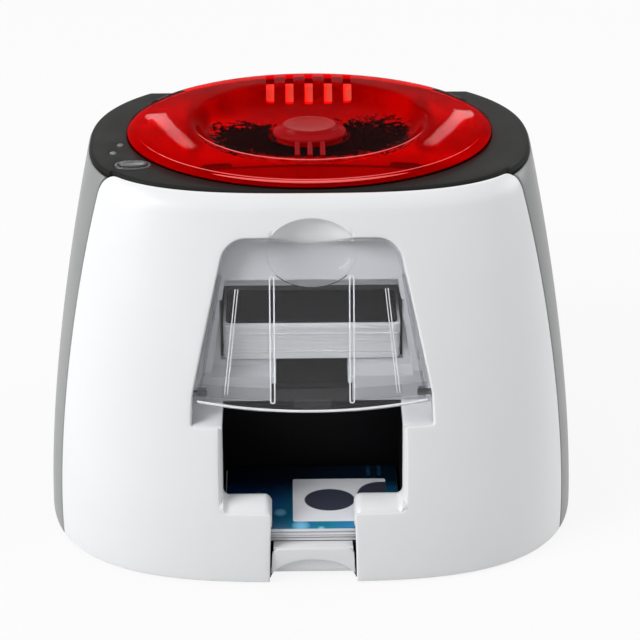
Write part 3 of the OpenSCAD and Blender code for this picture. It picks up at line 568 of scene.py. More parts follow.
def paintedUnderlayerFinish(t):  # bright red with painted shade: dark patches for the works below, deeper towards the back, the front and the bowl's ends, and painted lit walls under the slots
    u = underlayer
    dark = None
    # painted shade: the dark works below, as ragged patches
    for (x, y), half, power, ragged, scale in u["patches"]:
        spot = patch(t, (x, u["middle"] + y), half, power, ragged, scale, 0.16)
        dark = spot if dark is None else maths(t, "MAXIMUM", dark, spot)
    tone = blended(t, dark, clouded(t, 32, *u["red"], 5), u["dark"])
    # painted shade, deeper towards the back and the front
    for amount, nearer, further, colour in u["shades"]:
        share = ranged(t, coords(t)[1], 0, amount, u["middle"] + nearer, u["middle"] + further)
        tone = blended(t, share, tone, colour)
    # painted shade at the bowl's two ends
    for side in (-1, 1):
        end = patch(t, (side * u["endsOfBowl"], u["middle"]), (0.006, 0.028), 2, 1.2, 120, 0.5)
        tone = blended(t, end, tone, u["endColour"])
    for k in range(-2, 3):  # painted lit walls and shade under the slots
        for y, tall, colour in u["slotWalls"]:
            wall = patch(t, (k * u["slotPitch"], u["middle"] + y), (u["slotHalf"], tall), 8, 0, 1, 0.1)
            tone = blended(t, wall, tone, colour)
    feed(t, "Base Color", tone)
    feed(t, "Specular IOR Level", 0.0)
    feed(t, "Roughness", ranged(t, mottle(t, 80), 0.32, 0.5))
    bumped(t, mottle(t, 260, 4), 0.25, 0.0006)


cardArt = {  # metres across and along: a plain design of its own, with painted shade towards its back
    "left": (0.012, 0.03, 0.19), "right": (0.01, 0.36, 0.42), "cloud": (0.03, 0.16, 0.55),
    "lights": (  # place, size
        ((-0.016, -0.079), 0.0016), ((-0.027, -0.064), 0.0012),
        ((0.004, -0.0925), 0.0009), ((-0.006, -0.09), 0.0022)),
    # back is the colour of the painted shade at the card's rear
    "glow": (0.2, 0.55, 0.8), "back": (0.001, 0.002, 0.008), "panel": (0.84, 0.86, 0.9), "row": -0.0686,
    "figure": (0.045, 0.05, 0.075), "bars": (0.01, 0.05, 0.12), "edge": (0.82, 0.83, 0.84),
}


def cardArtFinish(t):  # deep blue to teal, soft lights, a white panel with a plain figure, darkened by painted shade towards its back
    a, xyz = cardArt, coords(t)
    slant = maths(t, "ADD", xyz[0], maths(t, "MULTIPLY", xyz[1], -0.35))
    tone = blended(t, ranged(t, slant, 0, 1, -0.012, 0.07), a["left"], a["right"])
    tone = blended(t, ranged(t, mottle(t, 38, 3, (1, 0.6, 1)), 0, 0.75, 0.45, 0.72), tone, a["cloud"])
    for centre, size in a["lights"]:
        tone = blended(t, patch(t, centre, (size * 1.6, size * 1.6), 2, 0, 1, 0.9), tone, a["glow"])
    # painted shade: darker towards the card's back, where the mouth's top shades it
    tone = blended(t, ranged(t, xyz[1], 0.0, 0.96, -0.086, -0.052), tone, a["back"])
    panel = patch(t, (0.0135, a["row"]), (0.0233, 0.0181), 50, 0, 1, 0.04)
    tone = blended(t, panel, tone, a["panel"])
    head = patch(t, (0.0085, a["row"]), (0.0125, 0.0092), 2, 0, 1, 0.05)
    shoulders = maths(t, "MULTIPLY", patch(t, (0.0365, a["row"]), (0.0145, 0.0152), 2.6, 0, 1, 0.05), panel)
    tone = blended(t, maths(t, "MAXIMUM", head, shoulders), tone, a["figure"])
    for x in (0.0285, 0.034):
        tone = blended(t, patch(t, (x, -0.0385), (0.0009, 0.0095), 8, 0, 1, 0.1), tone, a["bars"])
    tone = blended(t, maths(t, "GREATER_THAN", normalUp(t), 0.5), a["edge"], tone)
    feed(t, "Base Color", tone)
    feed(t, "Roughness", ranged(t, mottle(t, 60), 0.16, 0.24))
    feed(t, "Coat Weight", 0.4)
    feed(t, "Coat Roughness", 0.1)
    bumped(t, mottle(t, 700, 2), 0.03)


finish = {}


def addFinish(name, maker, *sizes, **more):
    t = nodeTree(name)
    maker(t, *sizes, **more)
    finish[name] = t.material


addFinish("shellWhite", mouldedPlastic, (0.79, 0.80, 0.81), 0.975, (0.3, 0.36), 1500, 0.05)
addFinish("panelGrey", mouldedPlastic, (0.255, 0.26, 0.26), 0.94, (0.36, 0.44), 1500, 0.08)
addFinish("deckCharcoal", mouldedPlastic, (0.019, 0.019, 0.018), 0.86, (0.4, 0.5), 1700, 0.12, 0.05)
addFinish("undersideGrey", mouldedPlastic, (0.03, 0.03, 0.032), 0.85, (0.5, 0.6), 1100, 0.15, dust=0.15)
addFinish("linerLight", mouldedPlastic, (0.60, 0.61, 0.625), 0.96, (0.4, 0.5), 1300, 0.08)
addFinish("innerBlack", mouldedPlastic, (0.004, 0.004, 0.005), 0.8, (0.5, 0.6), 1300, 0.1, 0.1)
addFinish("lidBlack", mouldedPlastic, (0.008, 0.008, 0.009), 0.8, (0.3, 0.5), 900, 0.12, 0.2)
addFinish("buttonGrey", mouldedPlastic, (0.045, 0.046, 0.048), 0.92, (0.25, 0.33), 1200, 0.05)
addFinish("lensGrey", mouldedPlastic, (0.07, 0.072, 0.075), 0.9, (0.25, 0.35), 600, 0.03, 0.25)
addFinish("gearWhite", mouldedPlastic, (0.72, 0.7, 0.64), 0.92, (0.35, 0.45), 800, 0.06)
addFinish("portBlack", mouldedPlastic, (0.012, 0.012, 0.012), 0.8, (0.35, 0.5), 900, 0.1)
addFinish("ribbonBlack", mouldedPlastic, (0.012, 0.012, 0.016), 0.75, (0.12, 0.22), 500, 0.03)
addFinish("boardGreen", mouldedPlastic, (0.02, 0.13, 0.045), 0.8, (0.25, 0.4), 400, 0.08)
addFinish("frameBlack", mouldedPlastic, (0.035, 0.037, 0.04), 0.85, (0.4, 0.52), 1500, 0.1)
redLamp, deepRedLamp = (0.93, 0.05, 0.05), (0.8, 0.05, 0.06)
addFinish("lidRed", clearPlastic, (0.92, 0.008, 0.011), (0.88, 0.005, 0.008), 1.0, (0.02, 0.04),
    redLamp, 1.045)
# painted shade and light on the sheet under the lid
addFinish("lidUnder", paintedUnderlayerFinish)
# pale pink plastic for the beads that stand for painted highlights
addFinish("edgePink", clearPlastic, (0.9, 0.2, 0.19), (0.82, 0.12, 0.12), 0.3, (0.1, 0.16),
    (0.95, 0.3, 0.3), 1.3)
addFinish("cardPrint", cardArtFinish)
# a paler copy of the clear plastic: painted highlight for the flap's lip bead and ribs
addFinish("lipClear", clearPlastic, (0.93, 0.93, 0.95), (0.9, 0.9, 0.92), 0.35, (0.08, 0.12), (0.9, 0.9, 0.9))
# the knob's top gets a paler painted highlight
addFinish("knobRed", clearPlastic, (0.46, 0.012, 0.016), (0.3, 0.002, 0.003), 0.25, (0.2, 0.28),
    deepRedLamp, 1.1, upTint=(0.44, 0.035, 0.035))
addFinish("ribRed", clearPlastic, (0.3, 0.002, 0.004), (0.25, 0.001, 0.003), 0.2, (0.15, 0.2),
    deepRedLamp, 1.08)
addFinish("smokeClear", clearPlastic, (0.775, 0.777, 0.79), (0.755, 0.757, 0.772), 0.98, (0.03, 0.06),
    (0.755, 0.755, 0.768), 1.15)
addFinish("rodSteel", metalFinish, (0.62, 0.63, 0.64), (0.2, 0.32), (1, 30, 30))
addFinish("finAluminium", metalFinish, (0.72, 0.73, 0.74), (0.28, 0.4), (1, 1, 20))
addFinish("motorSteel", metalFinish, (0.46, 0.47, 0.48), (0.28, 0.42), (25, 1, 1), (0.36, 0.36, 0.35))
addFinish("portSteel", metalFinish, (0.63, 0.63, 0.64), (0.22, 0.34))
addFinish("pinDark", metalFinish, (0.19, 0.19, 0.2), (0.3, 0.42))
addFinish("pinionBrass", metalFinish, (0.75, 0.52, 0.2), (0.22, 0.34), worn=(0.6, 0.42, 0.18))
addFinish("footRubber", rubberFinish, (0.012, 0.012, 0.012))
addFinish("rollerRubber", rubberFinish, (0.035, 0.035, 0.038))
addFinish("cardWhite", cardEdgeFinish, (0.82, 0.83, 0.84))
addFinish("cardPile", cardEdgeFinish, (0.86, 0.86, 0.88), 0.0186, 0.0019)
print("finishes made:", len(finish))

for part in frame["record"]["subparts"]:
    thing = frame["nodes"][part["node"]]
    thing.data.materials.clear()
    thing.data.materials.append(finish[slotLook(part["material_slot"].replace("print", "white"))])


flapForm = {
    "width": 113, "height": 83, "thickness": 2.2, "crown": 620, "drop": 5, "corner": 12, "narrowing": 27,
    "low": 85, "proud": 0.7, "scoopHalf": 22, "scoopTall": 16.5, "scoopDeep": 7, "gap": 0.6, "roll": 0.75,
    "pinUp": 9, "pinIn": -7.6, "dip": 2.5, "dipHalf": 20.3,
    "band": ((5.5, -0.05), (5.6, 0.9), (6.2, 1.1), (10.8, 1.1), (11.4, 0.9), (11.5, -0.05)),  # up and inward
    "ribLine": ((41.3, 9), (35.7, 59.5)), "ribShift": 0.65, "ringAt": 19, "ringFrom": 5.6, "ringTo": 64.6,
    "side": ((54.0, 12.0), (44.0, 66.0)), "sideDeep": 5.5, "armAt": 52.7, "bead": 0.62,
    "disc": ((50.9, 2.8), (51.1, 3.0), (54.3, 3.0), (54.5, 2.8)),  # place and radius of the pivot's disc
}
f = flapForm
bayLean = math.atan((leanOf(f["low"] + 75.6) - leanOf(f["low"])) / 75.6)
bayOrigin = np.array([0, leanOf(f["low"]) - f["proud"], f["low"]])
bayUp = np.array([0, math.sin(bayLean), math.cos(bayLean)])
bayOut = np.array([0, -math.cos(bayLean), math.sin(bayLean)])
right = np.array([1.0, 0, 0])
scoopUp = f["height"] - 6.4
onBay = lambda u, v, w=0.0: bayOrigin + right * u + bayUp * v + bayOut * w


def flapOutline(grow=0.0):
    top = f["width"] - f["narrowing"]
    out = [(k / 8 * (f["width"] / 2 + grow), f["drop"] * (k / 8) ** 2 - grow) for k in range(-8, 9)]
    for side in (1, -1):
        if side < 0:  # the top edge dips inside the finger scoop
            for u in np.linspace(f["dipHalf"], -f["dipHalf"], 17):
                out.append((u, f["height"] + grow - f["dip"] * (1 - (u / f["dipHalf"]) ** 2)))
        for k in range(9):
            t = math.radians((11 if side > 0 else 90) + k * 79 / 8)
            u = side * (top / 2 - f["corner"]) + (f["corner"] + grow) * math.cos(t)
            out.append((u, f["height"] - f["corner"] + (f["corner"] + grow) * math.sin(t)))
    return np.array(out)


def dish(u, v, deep, softness=0.5):  # the finger scoop
    q = (u / f["scoopHalf"]) ** 2 + ((v - scoopUp) / f["scoopTall"]) ** 2
    return deep * np.maximum(1 - q, 0) ** softness


def bayPlaceOf(p):  # across and along the flap's plane, for points of the case
    d = p - bayOrigin
    return d[..., 0], d @ bayUp


def frontSkin(points, depth):
    phi, z = points[:, 0] / unroll, points[:, 1]
    u, v = bayPlaceOf(casePoint(phi, z))
    return caseSkin(phi, z, np.asarray(depth) + dish(u, v, f["scoopDeep"] + 2.4))


def onFront(x, z):
    return np.array([float(frontPhi(x, z)) * unroll, z])


def flapToFront(outline):  # the flap's outline projected on the case's front
    pts = []
    for x, v in outline:
        z = onBay(x, v)[2]
        for _ in range(12):
            y = float(casePoint(float(frontPhi(x, z)), z)[1])
            z += (v - (np.array([x, y, z]) - bayOrigin) @ bayUp) * 0.9
        pts.append((float(frontPhi(x, z)) * unroll, z))
    return np.array(pts)


mouth = {
    "half": 44.9, "inner": 43.5, "sill": 36.9, "sillBack": 40.8, "notchHalf": 20.3, "notchRound": 3.6,
    "cornerRound": 3.2, "recessHalf": 58.5, "recessLow": 77.4, "recessTop": 92.1, "topRound": 4.6,
    "sillFace": ((2.2, -9), (0.7, -3), (0.25, -0.9), (0.75, -0.1), (1.4, 0.6)),  # back and up from the sill
    "cheek": (  # out from the mouth's outer or inner edge, and back
        ("half", 1.2, 1.6), ("half", 0.1, 0.75), ("half", -0.3, 1.1), ("inner", 0.3, 3.6),
        ("inner", 0.0, 4.6), ("inner", 0.0, 8), ("inner", 0.7, 8), ("half", 1.2, 2.6)),
}


def frontOutline():
    m, foot = mouth, printerCase["foot"]
    leftSeam, rightSeam = [seamLine(s, 0.0, 0.0, 181, 60, 0.2) for s in (-1, 1)]
    topPhi = np.linspace(rightSeam[-1][0], leftSeam[-1][0], 120)
    topLine = list(zip(topPhi, heightOnDeck(topPhi)))
    ends = (topLine[0], topLine[-1])
    near = lambda p, end: math.hypot((p[0] - end[0]) * unroll, p[1] - end[1]) <= m["topRound"] * 1.5
    clear = lambda line: [(p[0] * unroll, p[1]) for p in line if not any(near(p, end) for end in ends)]
    top = clear(topLine[1:-1])
    left, rightSide = [clear(line[:-1]) + [(line[-1][0] * unroll, line[-1][1])]
        for line in (leftSeam, rightSeam)]
    flap = flapToFront(flapOutline(f["gap"]))
    sides = flap[17:]  # from the right corner over the top to the left
    corner = [  # place and radius of each corner beside the mouth
        ((m["notchHalf"] + 1, foot), 0.6), ((m["notchHalf"], m["sill"] - 3), 0),
        ((m["notchHalf"], m["sill"]), m["notchRound"]), ((m["half"], m["sill"]), m["cornerRound"]),
        ((m["half"], m["recessLow"]), 1.0), ((m["recessHalf"], m["recessLow"]), 1.6),
        ((m["recessHalf"] - 1, m["recessTop"]), 0.8)]
    corners = [(tuple(onFront(-x, z)), r) for (x, z), r in corner] + [(tuple(p), 0) for p in sides[::-1]]
    corners += [(tuple(onFront(x, z)), r) for (x, z), r in corner[::-1]]
    plain = lambda line: [(p, 0) for p in line]
    alongFoot = lambda start, end: plain([(x, foot) for x in np.linspace(start, end, 40)[1:-1]])
    whole = plain(left[:1]) + alongFoot(left[0][0], corners[0][0][0]) + corners
    whole += alongFoot(corners[-1][0][0], rightSide[0][0]) + plain(rightSide[:-1])
    whole += [(rightSide[-1], m["topRound"])] + plain(top)
    whole += [(left[-1], m["topRound"])] + plain(left[-2:0:-1])
    return rounded([p for p, _ in whole], [r for _, r in whole])


def scoopLine(share, low, high):  # a line round the scoop, between two heights on the flap
    turn = np.linspace(0, 2 * math.pi, 73)
    u = f["scoopHalf"] * math.sqrt(share) * np.cos(turn)
    v = scoopUp + f["scoopTall"] * math.sqrt(share) * np.sin(turn)
    keep = (v > low) & (v < high)
    first = int(np.argmax(keep & ~np.roll(keep, 1)))
    return np.roll(np.stack([u, v], 1)[:-1], -first, 0)[:int(keep[:-1].sum())]


shellWall = {"thickness": 2.6, "roll": 0.9}
scoopShares = (1.0, 0.95, 0.86, 0.72, 0.5)
scoopLines = [flapToFront(scoopLine(share, f["height"] + 2.2, 200)) for share in scoopShares[:4]]
verts, faces = trimmedSkin([frontOutline()], frontSkin, shellWall["thickness"], shellWall["roll"], 2.8,
    extra=scoopLines)


def sillBlock(side):  # the ramp below the tray's mouth, on one side of the notch
    m = mouth
    marks = [m["notchHalf"] - 0.3, m["notchHalf"] + m["notchRound"], m["inner"] - m["cornerRound"],
        m["inner"]]
    xs = [x for a, b, n in zip(marks, marks[1:], (9, 9, 8)) for x in np.linspace(a, b, n)[:-1]]
    rows = []
    corner = lambda t, r: r - math.sqrt(max(r * r - min(max(r - t, 0), r) ** 2, 0))
    back = float(casePoint(frontPhi(m["half"], 43.5), np.array(43.5))[1]) + 10
    end = (back - 1.6, m["sillBack"])
    for x in xs + [m["inner"], m["half"] + 0.3]:
        lift = corner(m["inner"] - x, m["cornerRound"]) - corner(x - m["notchHalf"], m["notchRound"])
        y = caseSkin(frontPhi(x, m["sill"]), np.array(m["sill"]), 0.0)[1]
        ramp = [(y + dy, m["sill"] + dz) for dy, dz in m["sillFace"]]
        for k in range(1, 9):
            t = k / 8
            rise = math.sin(t * math.pi / 2) ** 0.85
            ramp.append((y + 1.4 + (end[0] - y - 1.4) * t,
                m["sill"] + 0.6 + (end[1] - m["sill"] - 0.6) * rise))
        ramp += [(back - 0.5, m["sillBack"] - 0.2), (back, m["sillBack"] - 1), (back, m["sill"] - 9)]
        rows.append([(side * x, py, pz + lift * (0.0 if pz < m["sill"] - 8 else 1.0)) for py, pz in ramp])
    return sweepGrid(rows, caps=True)


def mouthCheek(side):  # the sloped white edge down one side of the mouth
    m = mouth
    rows = []
    for z in np.linspace(m["sill"] - 4, m["recessLow"] - 0.9, 20):
        y = float(caseSkin(frontPhi(m["half"], z), np.array(z), 0.0)[1])
        rows.append([(side * (m[edge] + dx), y + dy, z) for edge, dx, dy in m["cheek"]])
    return sweepGrid(rows, caps=True)


parts = [(verts, faces), sillBlock(1), sillBlock(-1), mouthCheek(1), mouthCheek(-1)]
finished("frontShellSkin", *joined(parts), "case", "shell_white", ["front_shell"], sharp=50)
print("front shell skinned")


def wholeTurn(pts, side):  # angles on the left run on past half a turn
    return [((p % (2 * math.pi)) if side < 0 else p, z) for p, z in pts]


sidePanel = {"gap": 0.15, "drop": 1.7, "thickness": 2.4, "roll": 0.8}
for side, name, node in ((-1, "sidePanelLeftSkin", "side_panel_left"),
        (1, "sidePanelRightSkin", "side_panel_right")):
    gap, back = sidePanel["gap"], printerCase["rearSeamY"] - sidePanel["gap"]
    front = wholeTurn(seamLine(side, sidePanel["drop"], gap), side)
    rearPts = [(float(phiAtDepth(back, z, side)), z) for z in np.linspace(printerCase["foot"], 184, 50)]
    rear = wholeTurn(trimmedAt(rearPts, lambda z: float(phiAtDepth(back, z, side)), sidePanel["drop"]), side)
    topPhi = np.linspace(front[-1][0], rear[-1][0], 40)[1:-1]
    top = list(zip(topPhi, heightOnDeck(topPhi, sidePanel["drop"])))
    low = [(p, printerCase["foot"]) for p in np.linspace(rear[0][0], front[0][0], 40)[1:-1]]
    outline = np.array([(p * unroll, z) for p, z in front + top + rear[::-1] + low])
    verts, faces = trimmedSkin([outline], caseSide, sidePanel["thickness"], sidePanel["roll"], 4.0, 2.4)
    finished(name, verts, faces, "case", "panel_grey", [node], sharp=50)


def onDeck(u, v, w=0.0):  # from across, along and above the deck to a place in the frame
    y = deckFront + v * math.cos(deckTilt) - w * math.sin(deckTilt)
    z = printerCase["frontHeight"] + v * math.sin(deckTilt) + w * math.cos(deckTilt)
    return np.stack(np.broadcast_arrays(u, y, z), -1).astype(float)


rearParts = {
    "shelfDrop": 9, "hatchHalf": 58, "hatchLow": 163.0, "thickness": 2.4, "roll": 0.7,
    "ventCount": 6, "ventPitch": 6.0, "ventLow": 112, "ventIn": 28, "ventOut": 62, "ventTall": 2.6,
    "jackX": 70, "usbX": 92, "portZ": 22,
}


def onRear(x, z):
    return np.array([float(rearPhi(x, z)) * unroll, z])


def rearHole(x0, x1, z0, z1, radius):
    return rounded([onRear(x0, z0), onRear(x1, z0), onRear(x1, z1), onRear(x0, z1)], radius, 6)


r = rearParts
start = printerCase["rearSeamY"] + printerCase["seamGap"]
edges = []
for side in (1, -1):
    pts = [(float(phiAtDepth(start, z, side)), z) for z in np.linspace(printerCase["foot"], 184, 50)]
    edges.append(wholeTurn(trimmedAt(pts, lambda z: float(phiAtDepth(start, z, side)), r["shelfDrop"]), side))
rightEdge, leftEdge = edges
hatchTop = lambda s: float(heightOnDeck(np.array([float(rearPhi(s * r["hatchHalf"], 178.0))]),
    r["shelfDrop"])[0])
cornerPhi = [float(rearPhi(s * r["hatchHalf"], hatchTop(s))) for s in (1, -1)]
topRight = np.linspace(rightEdge[-1][0], cornerPhi[0], 14)[1:-1]
topLeft = np.linspace(cornerPhi[1], leftEdge[-1][0], 14)[1:-1]
underDeck = lambda line: [(p * unroll, float(heightOnDeck(np.array([p]), r["shelfDrop"])[0])) for p in line]
hatchAcross = [r["hatchHalf"] - 3, *np.linspace(r["hatchHalf"] - 6, 6 - r["hatchHalf"], 26),
    3 - r["hatchHalf"]]
outline = [(p * unroll, z) for p, z in rightEdge] + underDeck(topRight)
outline += [(cornerPhi[0] * unroll, hatchTop(1)), onRear(r["hatchHalf"], r["hatchLow"] + 3)]
outline += [onRear(x, r["hatchLow"]) for x in hatchAcross]
outline += [onRear(-r["hatchHalf"], r["hatchLow"] + 3), (cornerPhi[1] * unroll, hatchTop(-1))]
outline += underDeck(topLeft) + [(p * unroll, z) for p, z in leftEdge[::-1]]
outline += [(p * unroll, printerCase["foot"]) for p in np.linspace(leftEdge[0][0], rightEdge[0][0], 70)[1:-1]]
holes = []
for s in (1, -1):
    for low in [r["ventLow"] + r["ventPitch"] * i for i in range(r["ventCount"])]:
        holes.append(rearHole(s * r["ventIn"], s * r["ventOut"], low, low + r["ventTall"], 1.25))
holes.append(rearHole(r["jackX"] - 6, r["jackX"] + 6, r["portZ"] - 6, r["portZ"] + 6, 2.0))
holes.append(rearHole(r["usbX"] - 6.5, r["usbX"] + 6.5, r["portZ"] - 6, r["portZ"] + 5.5, 1.0))
rolls = [r["roll"]] + [0.5] * len(holes)
rearPieces = [trimmedSkin([np.array(outline)] + holes, caseSide, r["thickness"], rolls, 4.2, 2.0, 3)]
deckAt = lambda q, d: np.stack([q[:, 0], q[:, 1], deckHeight(q[:, 1]) - r["shelfDrop"] - d], -1)
shelfInner = r["hatchHalf"] + 0.02


def shelfEdge(y):  # how far out the case's side is behind a horn
    phi = phiAtDepth(y, 178.0, 1)
    reach = np.hypot(*(casePoint(phi, np.array(178.0))[:2] - np.array([0, float(caseSizes(178.0)[1])])))
    return float(np.cos(phi) * reach) - 1.4


for side in (1, -1):  # the sunken shelf behind each horn, and the riser in front of it
    ys = np.linspace(70.4, float(casePoint(np.array(cornerPhi[0]), np.array(178.0))[1]) - 1.3, 12)
    curve = [(side * shelfEdge(y), y) for y in ys]
    flat = rounded([(side * shelfInner, ys[0])] + curve + [(side * shelfInner, ys[-1])], 0.3, 2)
    rearPieces.append(trimmedSkin([flat], deckAt, 2.2, 0.2, 3, 2, 2))
    edgeX = side * (curve[0][0] * side - 0.6)
    box = [(side * shelfInner, 68.2), (edgeX, 68.2), (edgeX, 70.5), (side * shelfInner, 70.5)]
    riser = np.array([[(x, y, deckHeight(y) - drop) for x, y in box] for drop in (3.1, 10.5)])
    rearPieces.append(sweepGrid(riser, caps=True))
finished("rearShellSkin", *joined(rearPieces), "case", "panel_grey", ["rear_shell"], sharp=45)

lidForm = {
    "halfLong": 91.3, "halfWide": 57.0, "centre": 59.5, "ridgeAt": 58.6, "ridgeWide": 40.6,
    "wall": 2.2, "knobHalf": 18.5, "knobWide": 11.55, "slots": 5, "slotPitch": 9.9, "slotWidth": 4.2,
    "slotFront": 31.5, "slotBack": 51.2, "skirtHalf": 50, "ribsAt": (-6.2, 0.0, 6.2),
    "skirt": (  # out from the rim, and up
        (-1.0, 1.0), (-0.2, 2.2), (0.5, 2.0), (1.1, 1.4), (1.4, 0.6), (1.4, -4),
        (1.4, -10.5), (0.9, -11), (-0.4, -11), (-0.8, -10.5), (-0.9, -5)),
    "beads": (  # pale beads for painted highlights on the ridge and rim: radius, half thickness, first and last degree, lift
        (58.4, 0.42, 200, 340, 0.05), (86.6, 0.36, 196, 344, -0.12), (89.2, 1.0, 238, 302, -0.3)),
}
l = lidForm
button = {
    "x": -86.0, "v": 27.0, "ringLong": 9.2, "ringWide": 4.7,
    "lensRadius": 1.9, "lenses": ((-96.5, 39.0), (-93.5, 47.0)),
    "ring": (  # half length, half width, height
        (7.2, 3.1, -8.0), (7.2, 3.1, -0.3), (7.4, 3.3, 0.25), (7.8, 3.6, 0.5), (8.5, 4.1, 0.5),
        (9.0, 4.5, 0.3), (9.2, 4.7, -0.1), (9.2, 4.7, -9.0), (7.2, 3.1, -9.0)),
    "cap": (
        (6.9, 2.8, -6.6), (6.9, 2.8, 0.5), (6.7, 2.65, 0.95), (6.2, 2.3, 1.2), (5.2, 1.9, 1.12),
        (3.0, 1.1, 0.9), (0.2, 0.1, 0.85)),
    "lens": ((1.88, 1.88, -3.0), (1.88, 1.88, -0.05), (1.75, 1.75, 0.1), (1.2, 1.2, 0.15), (0.1, 0.1, 0.15)),
}


def ellipse(centre, halfLong, halfWide, count=96):
    turn = [2 * math.pi * k / count for k in range(count)]
    return np.array([(centre[0] + halfLong * math.cos(t), centre[1] + halfWide * math.sin(t)) for t in turn])


def toDeckPlane(points):  # from places in the frame to across and along the deck
    points = np.asarray(points, float)
    y, z = points[:, 1] - deckFront, points[:, 2] - printerCase["frontHeight"]
    return np.stack([points[:, 0], y * math.cos(deckTilt) + z * math.sin(deckTilt)], 1)


bezel = {"thickness": 3.0, "roll": 2.0, "behindShell": 2.75, "notchHalf": 57.5, "notchY": 67.5,
    "hornRound": 3.5}
seamPhi = float(seamLine(1, 0.0, 0.2)[-1][0])
backPhi = float(phiAtDepth(printerCase["rearSeamY"], float(deckHeight(70.0)), 1))
outerPhi = np.linspace(seamPhi, backPhi, 50)
outerRight = toDeckPlane(casePoint(outerPhi, heightOnDeck(outerPhi)))
frontPhis = np.linspace(seamPhi - 0.004, -math.pi - (seamPhi - 0.004), 140)
frontDeck = heightOnDeck(frontPhis)
inward = caseNormal(frontPhis, frontDeck) * np.array([1, 1, 0])
innerFront = toDeckPlane(casePoint(frontPhis, frontDeck) - inward * bezel["behindShell"])
outerLeft = outerRight[::-1] * np.array([-1, 1])
notch = [(1, 70.0), (1, bezel["notchY"]), (-1, bezel["notchY"]), (-1, 70.0)]
notch = toDeckPlane(np.array([(side * bezel["notchHalf"], y, deckHeight(y)) for side, y in notch]))
outline = np.concatenate([outerRight, notch, outerLeft, innerFront[::-1]])
hornRadii = [bezel["hornRound"], 1.2, 1.0]
radii = [0.4] + [0] * (len(outerRight) - 2) + hornRadii + hornRadii[::-1] + [0] * (len(outerLeft) - 2)
radii += [0.4, 0.4] + [0] * (len(innerFront) - 2) + [0.4]
lidHole = ellipse((0, lidForm["centre"]), lidForm["halfLong"] - 5, lidForm["halfWide"] - 5, 120)
buttonHole = ellipse((button["x"], button["v"]), button["ringLong"] + 0.15, button["ringWide"] + 0.15, 40)
lensHoles = [ellipse(place, button["lensRadius"] + 0.1, button["lensRadius"] + 0.1, 20)
    for place in button["lenses"]]
deckSkin = lambda q, d: onDeck(q[:, 0], q[:, 1], -d)
loops = [rounded(outline, radii), lidHole, buttonHole] + lensHoles
rolls = [bezel["roll"], 0.6, 0.4, 0.25, 0.25]
verts, faces = trimmedSkin(loops, deckSkin, bezel["thickness"], rolls, 4.0, 1.8, 6)
finished("deckBezelSkin", verts, faces, "case", "deck_charcoal", ["deck_bezel"], sharp=50)
print("side, rear and deck shells skinned")


def ovalRatio(radius):  # the oval widens towards the ridge, as the bowl is rounder than the rim
    radii = [0, l["knobHalf"], l["knobHalf"] + 8, l["ridgeAt"], l["halfLong"]]
    knobShare = l["knobWide"] / l["knobHalf"]
    shares = [knobShare, knobShare, 0.66, l["ridgeWide"] / l["ridgeAt"], l["halfWide"] / l["halfLong"]]
    return np.interp(radius, radii, shares)


def ovalPlace(radius, angle, height):
    return onDeck(radius * np.cos(angle), l["centre"] + radius * ovalRatio(radius) * np.sin(angle), height)


def curved(points, steps=6):  # a smooth line through a few points
    points = np.asarray(points, float)
    out = []
    for i in range(len(points) - 1):
        p0, p1, p2, p3 = points[max(i - 1, 0)], points[i], points[i + 1], points[min(i + 2, len(points) - 1)]
        for k in range(steps):
            t = k / steps
            square, cube = 2 * p0 - 5 * p1 + 4 * p2 - p3, 3 * p1 - p0 - 3 * p2 + p3
            out.append(0.5 * (2 * p1 + (p2 - p0) * t + square * t * t + cube * t ** 3))
    out.append(points[-1])
    return np.array(out)


lidProfile = [  # radius, height
    (18.9, 0.0), (30, 0.0), (44, 0.15), (50, 0.8), (54, 2.6), (57.2, 6.0), (58.6, 7.0), (60.2, 6.9),
    (64, 6.6), (72, 5.9), (80, 5.1), (86, 4.5), (89.2, 4.0)]
lidCurve = curved(lidProfile, 5)


def lidSkin(points, depth):  # points are across and along the deck, from the lid's centre
    u, v = points[:, 0], points[:, 1]
    radius = np.hypot(u, v * l["halfLong"] / l["halfWide"])
    for _ in range(4):
        radius = np.hypot(u, v / ovalRatio(radius))
    height = np.interp(radius, np.append(lidCurve[:, 0], [90.2, 91.3]), np.append(lidCurve[:, 1], [3.5, 2.4]))
    return onDeck(u, l["centre"] + v, height - depth)


def lidRound(radius, count=140):
    angle = fullTurn(count)
    p = toDeckPlane(ovalPlace(np.full(count, float(radius)), angle, 0.0))
    return p - np.array([0, l["centre"]])


slots = []
for i in range(l["slots"]):
    x, w = (i - (l["slots"] - 1) / 2) * l["slotPitch"], l["slotWidth"] / 2
    low, high = l["slotFront"], l["slotBack"]
    front = [(x - w, low + 0.6), (x - w + 0.6, low), (x + w - 0.6, low), (x + w, low + 0.6)]
    slots.append(np.array(front + [(x + a, high + b) for a, b in arc(w, w, 0, math.pi, 11)]))
rolls = [1.5, 0.3] + [0.35] * len(slots)
loops = [lidRound(l["halfLong"]), lidRound(19.2, 80)] + slots
lidParts = [trimmedSkin(loops, lidSkin, l["wall"], rolls, 2.6, 1.6, 5)]
skirt = []
for x in np.linspace(-l["skirtHalf"], l["skirtHalf"], 60):
    column = []
    for grow, w in l["skirt"]:
        a, b = l["halfLong"] + grow, l["halfWide"] + grow
        column.append(onDeck(x, l["centre"] + b * math.sqrt(1 - (x / a) ** 2), w))
    skirt.append(column)
lidParts.append(sweepGrid(skirt, caps=True))
deckUp = onDeck(0, 0, 1) - onDeck(0, 0, 0)
deckAlong = onDeck(0, 1, 0) - onDeck(0, 0, 0)
ribBars = []
for x in l["ribsAt"]:  # ribs in front of the knob
    ends = [onDeck(x, l["centre"] + v, -0.4) for v in (-26.5, -13.2)]
    ribBars.append(roundedBar(*ends, 2.8, 2.3, right, deckUp, 0.9))
finished("lidDomeSkin", *joined(lidParts), "lid", "lid_red", ["lid_dome"], sharp=42)

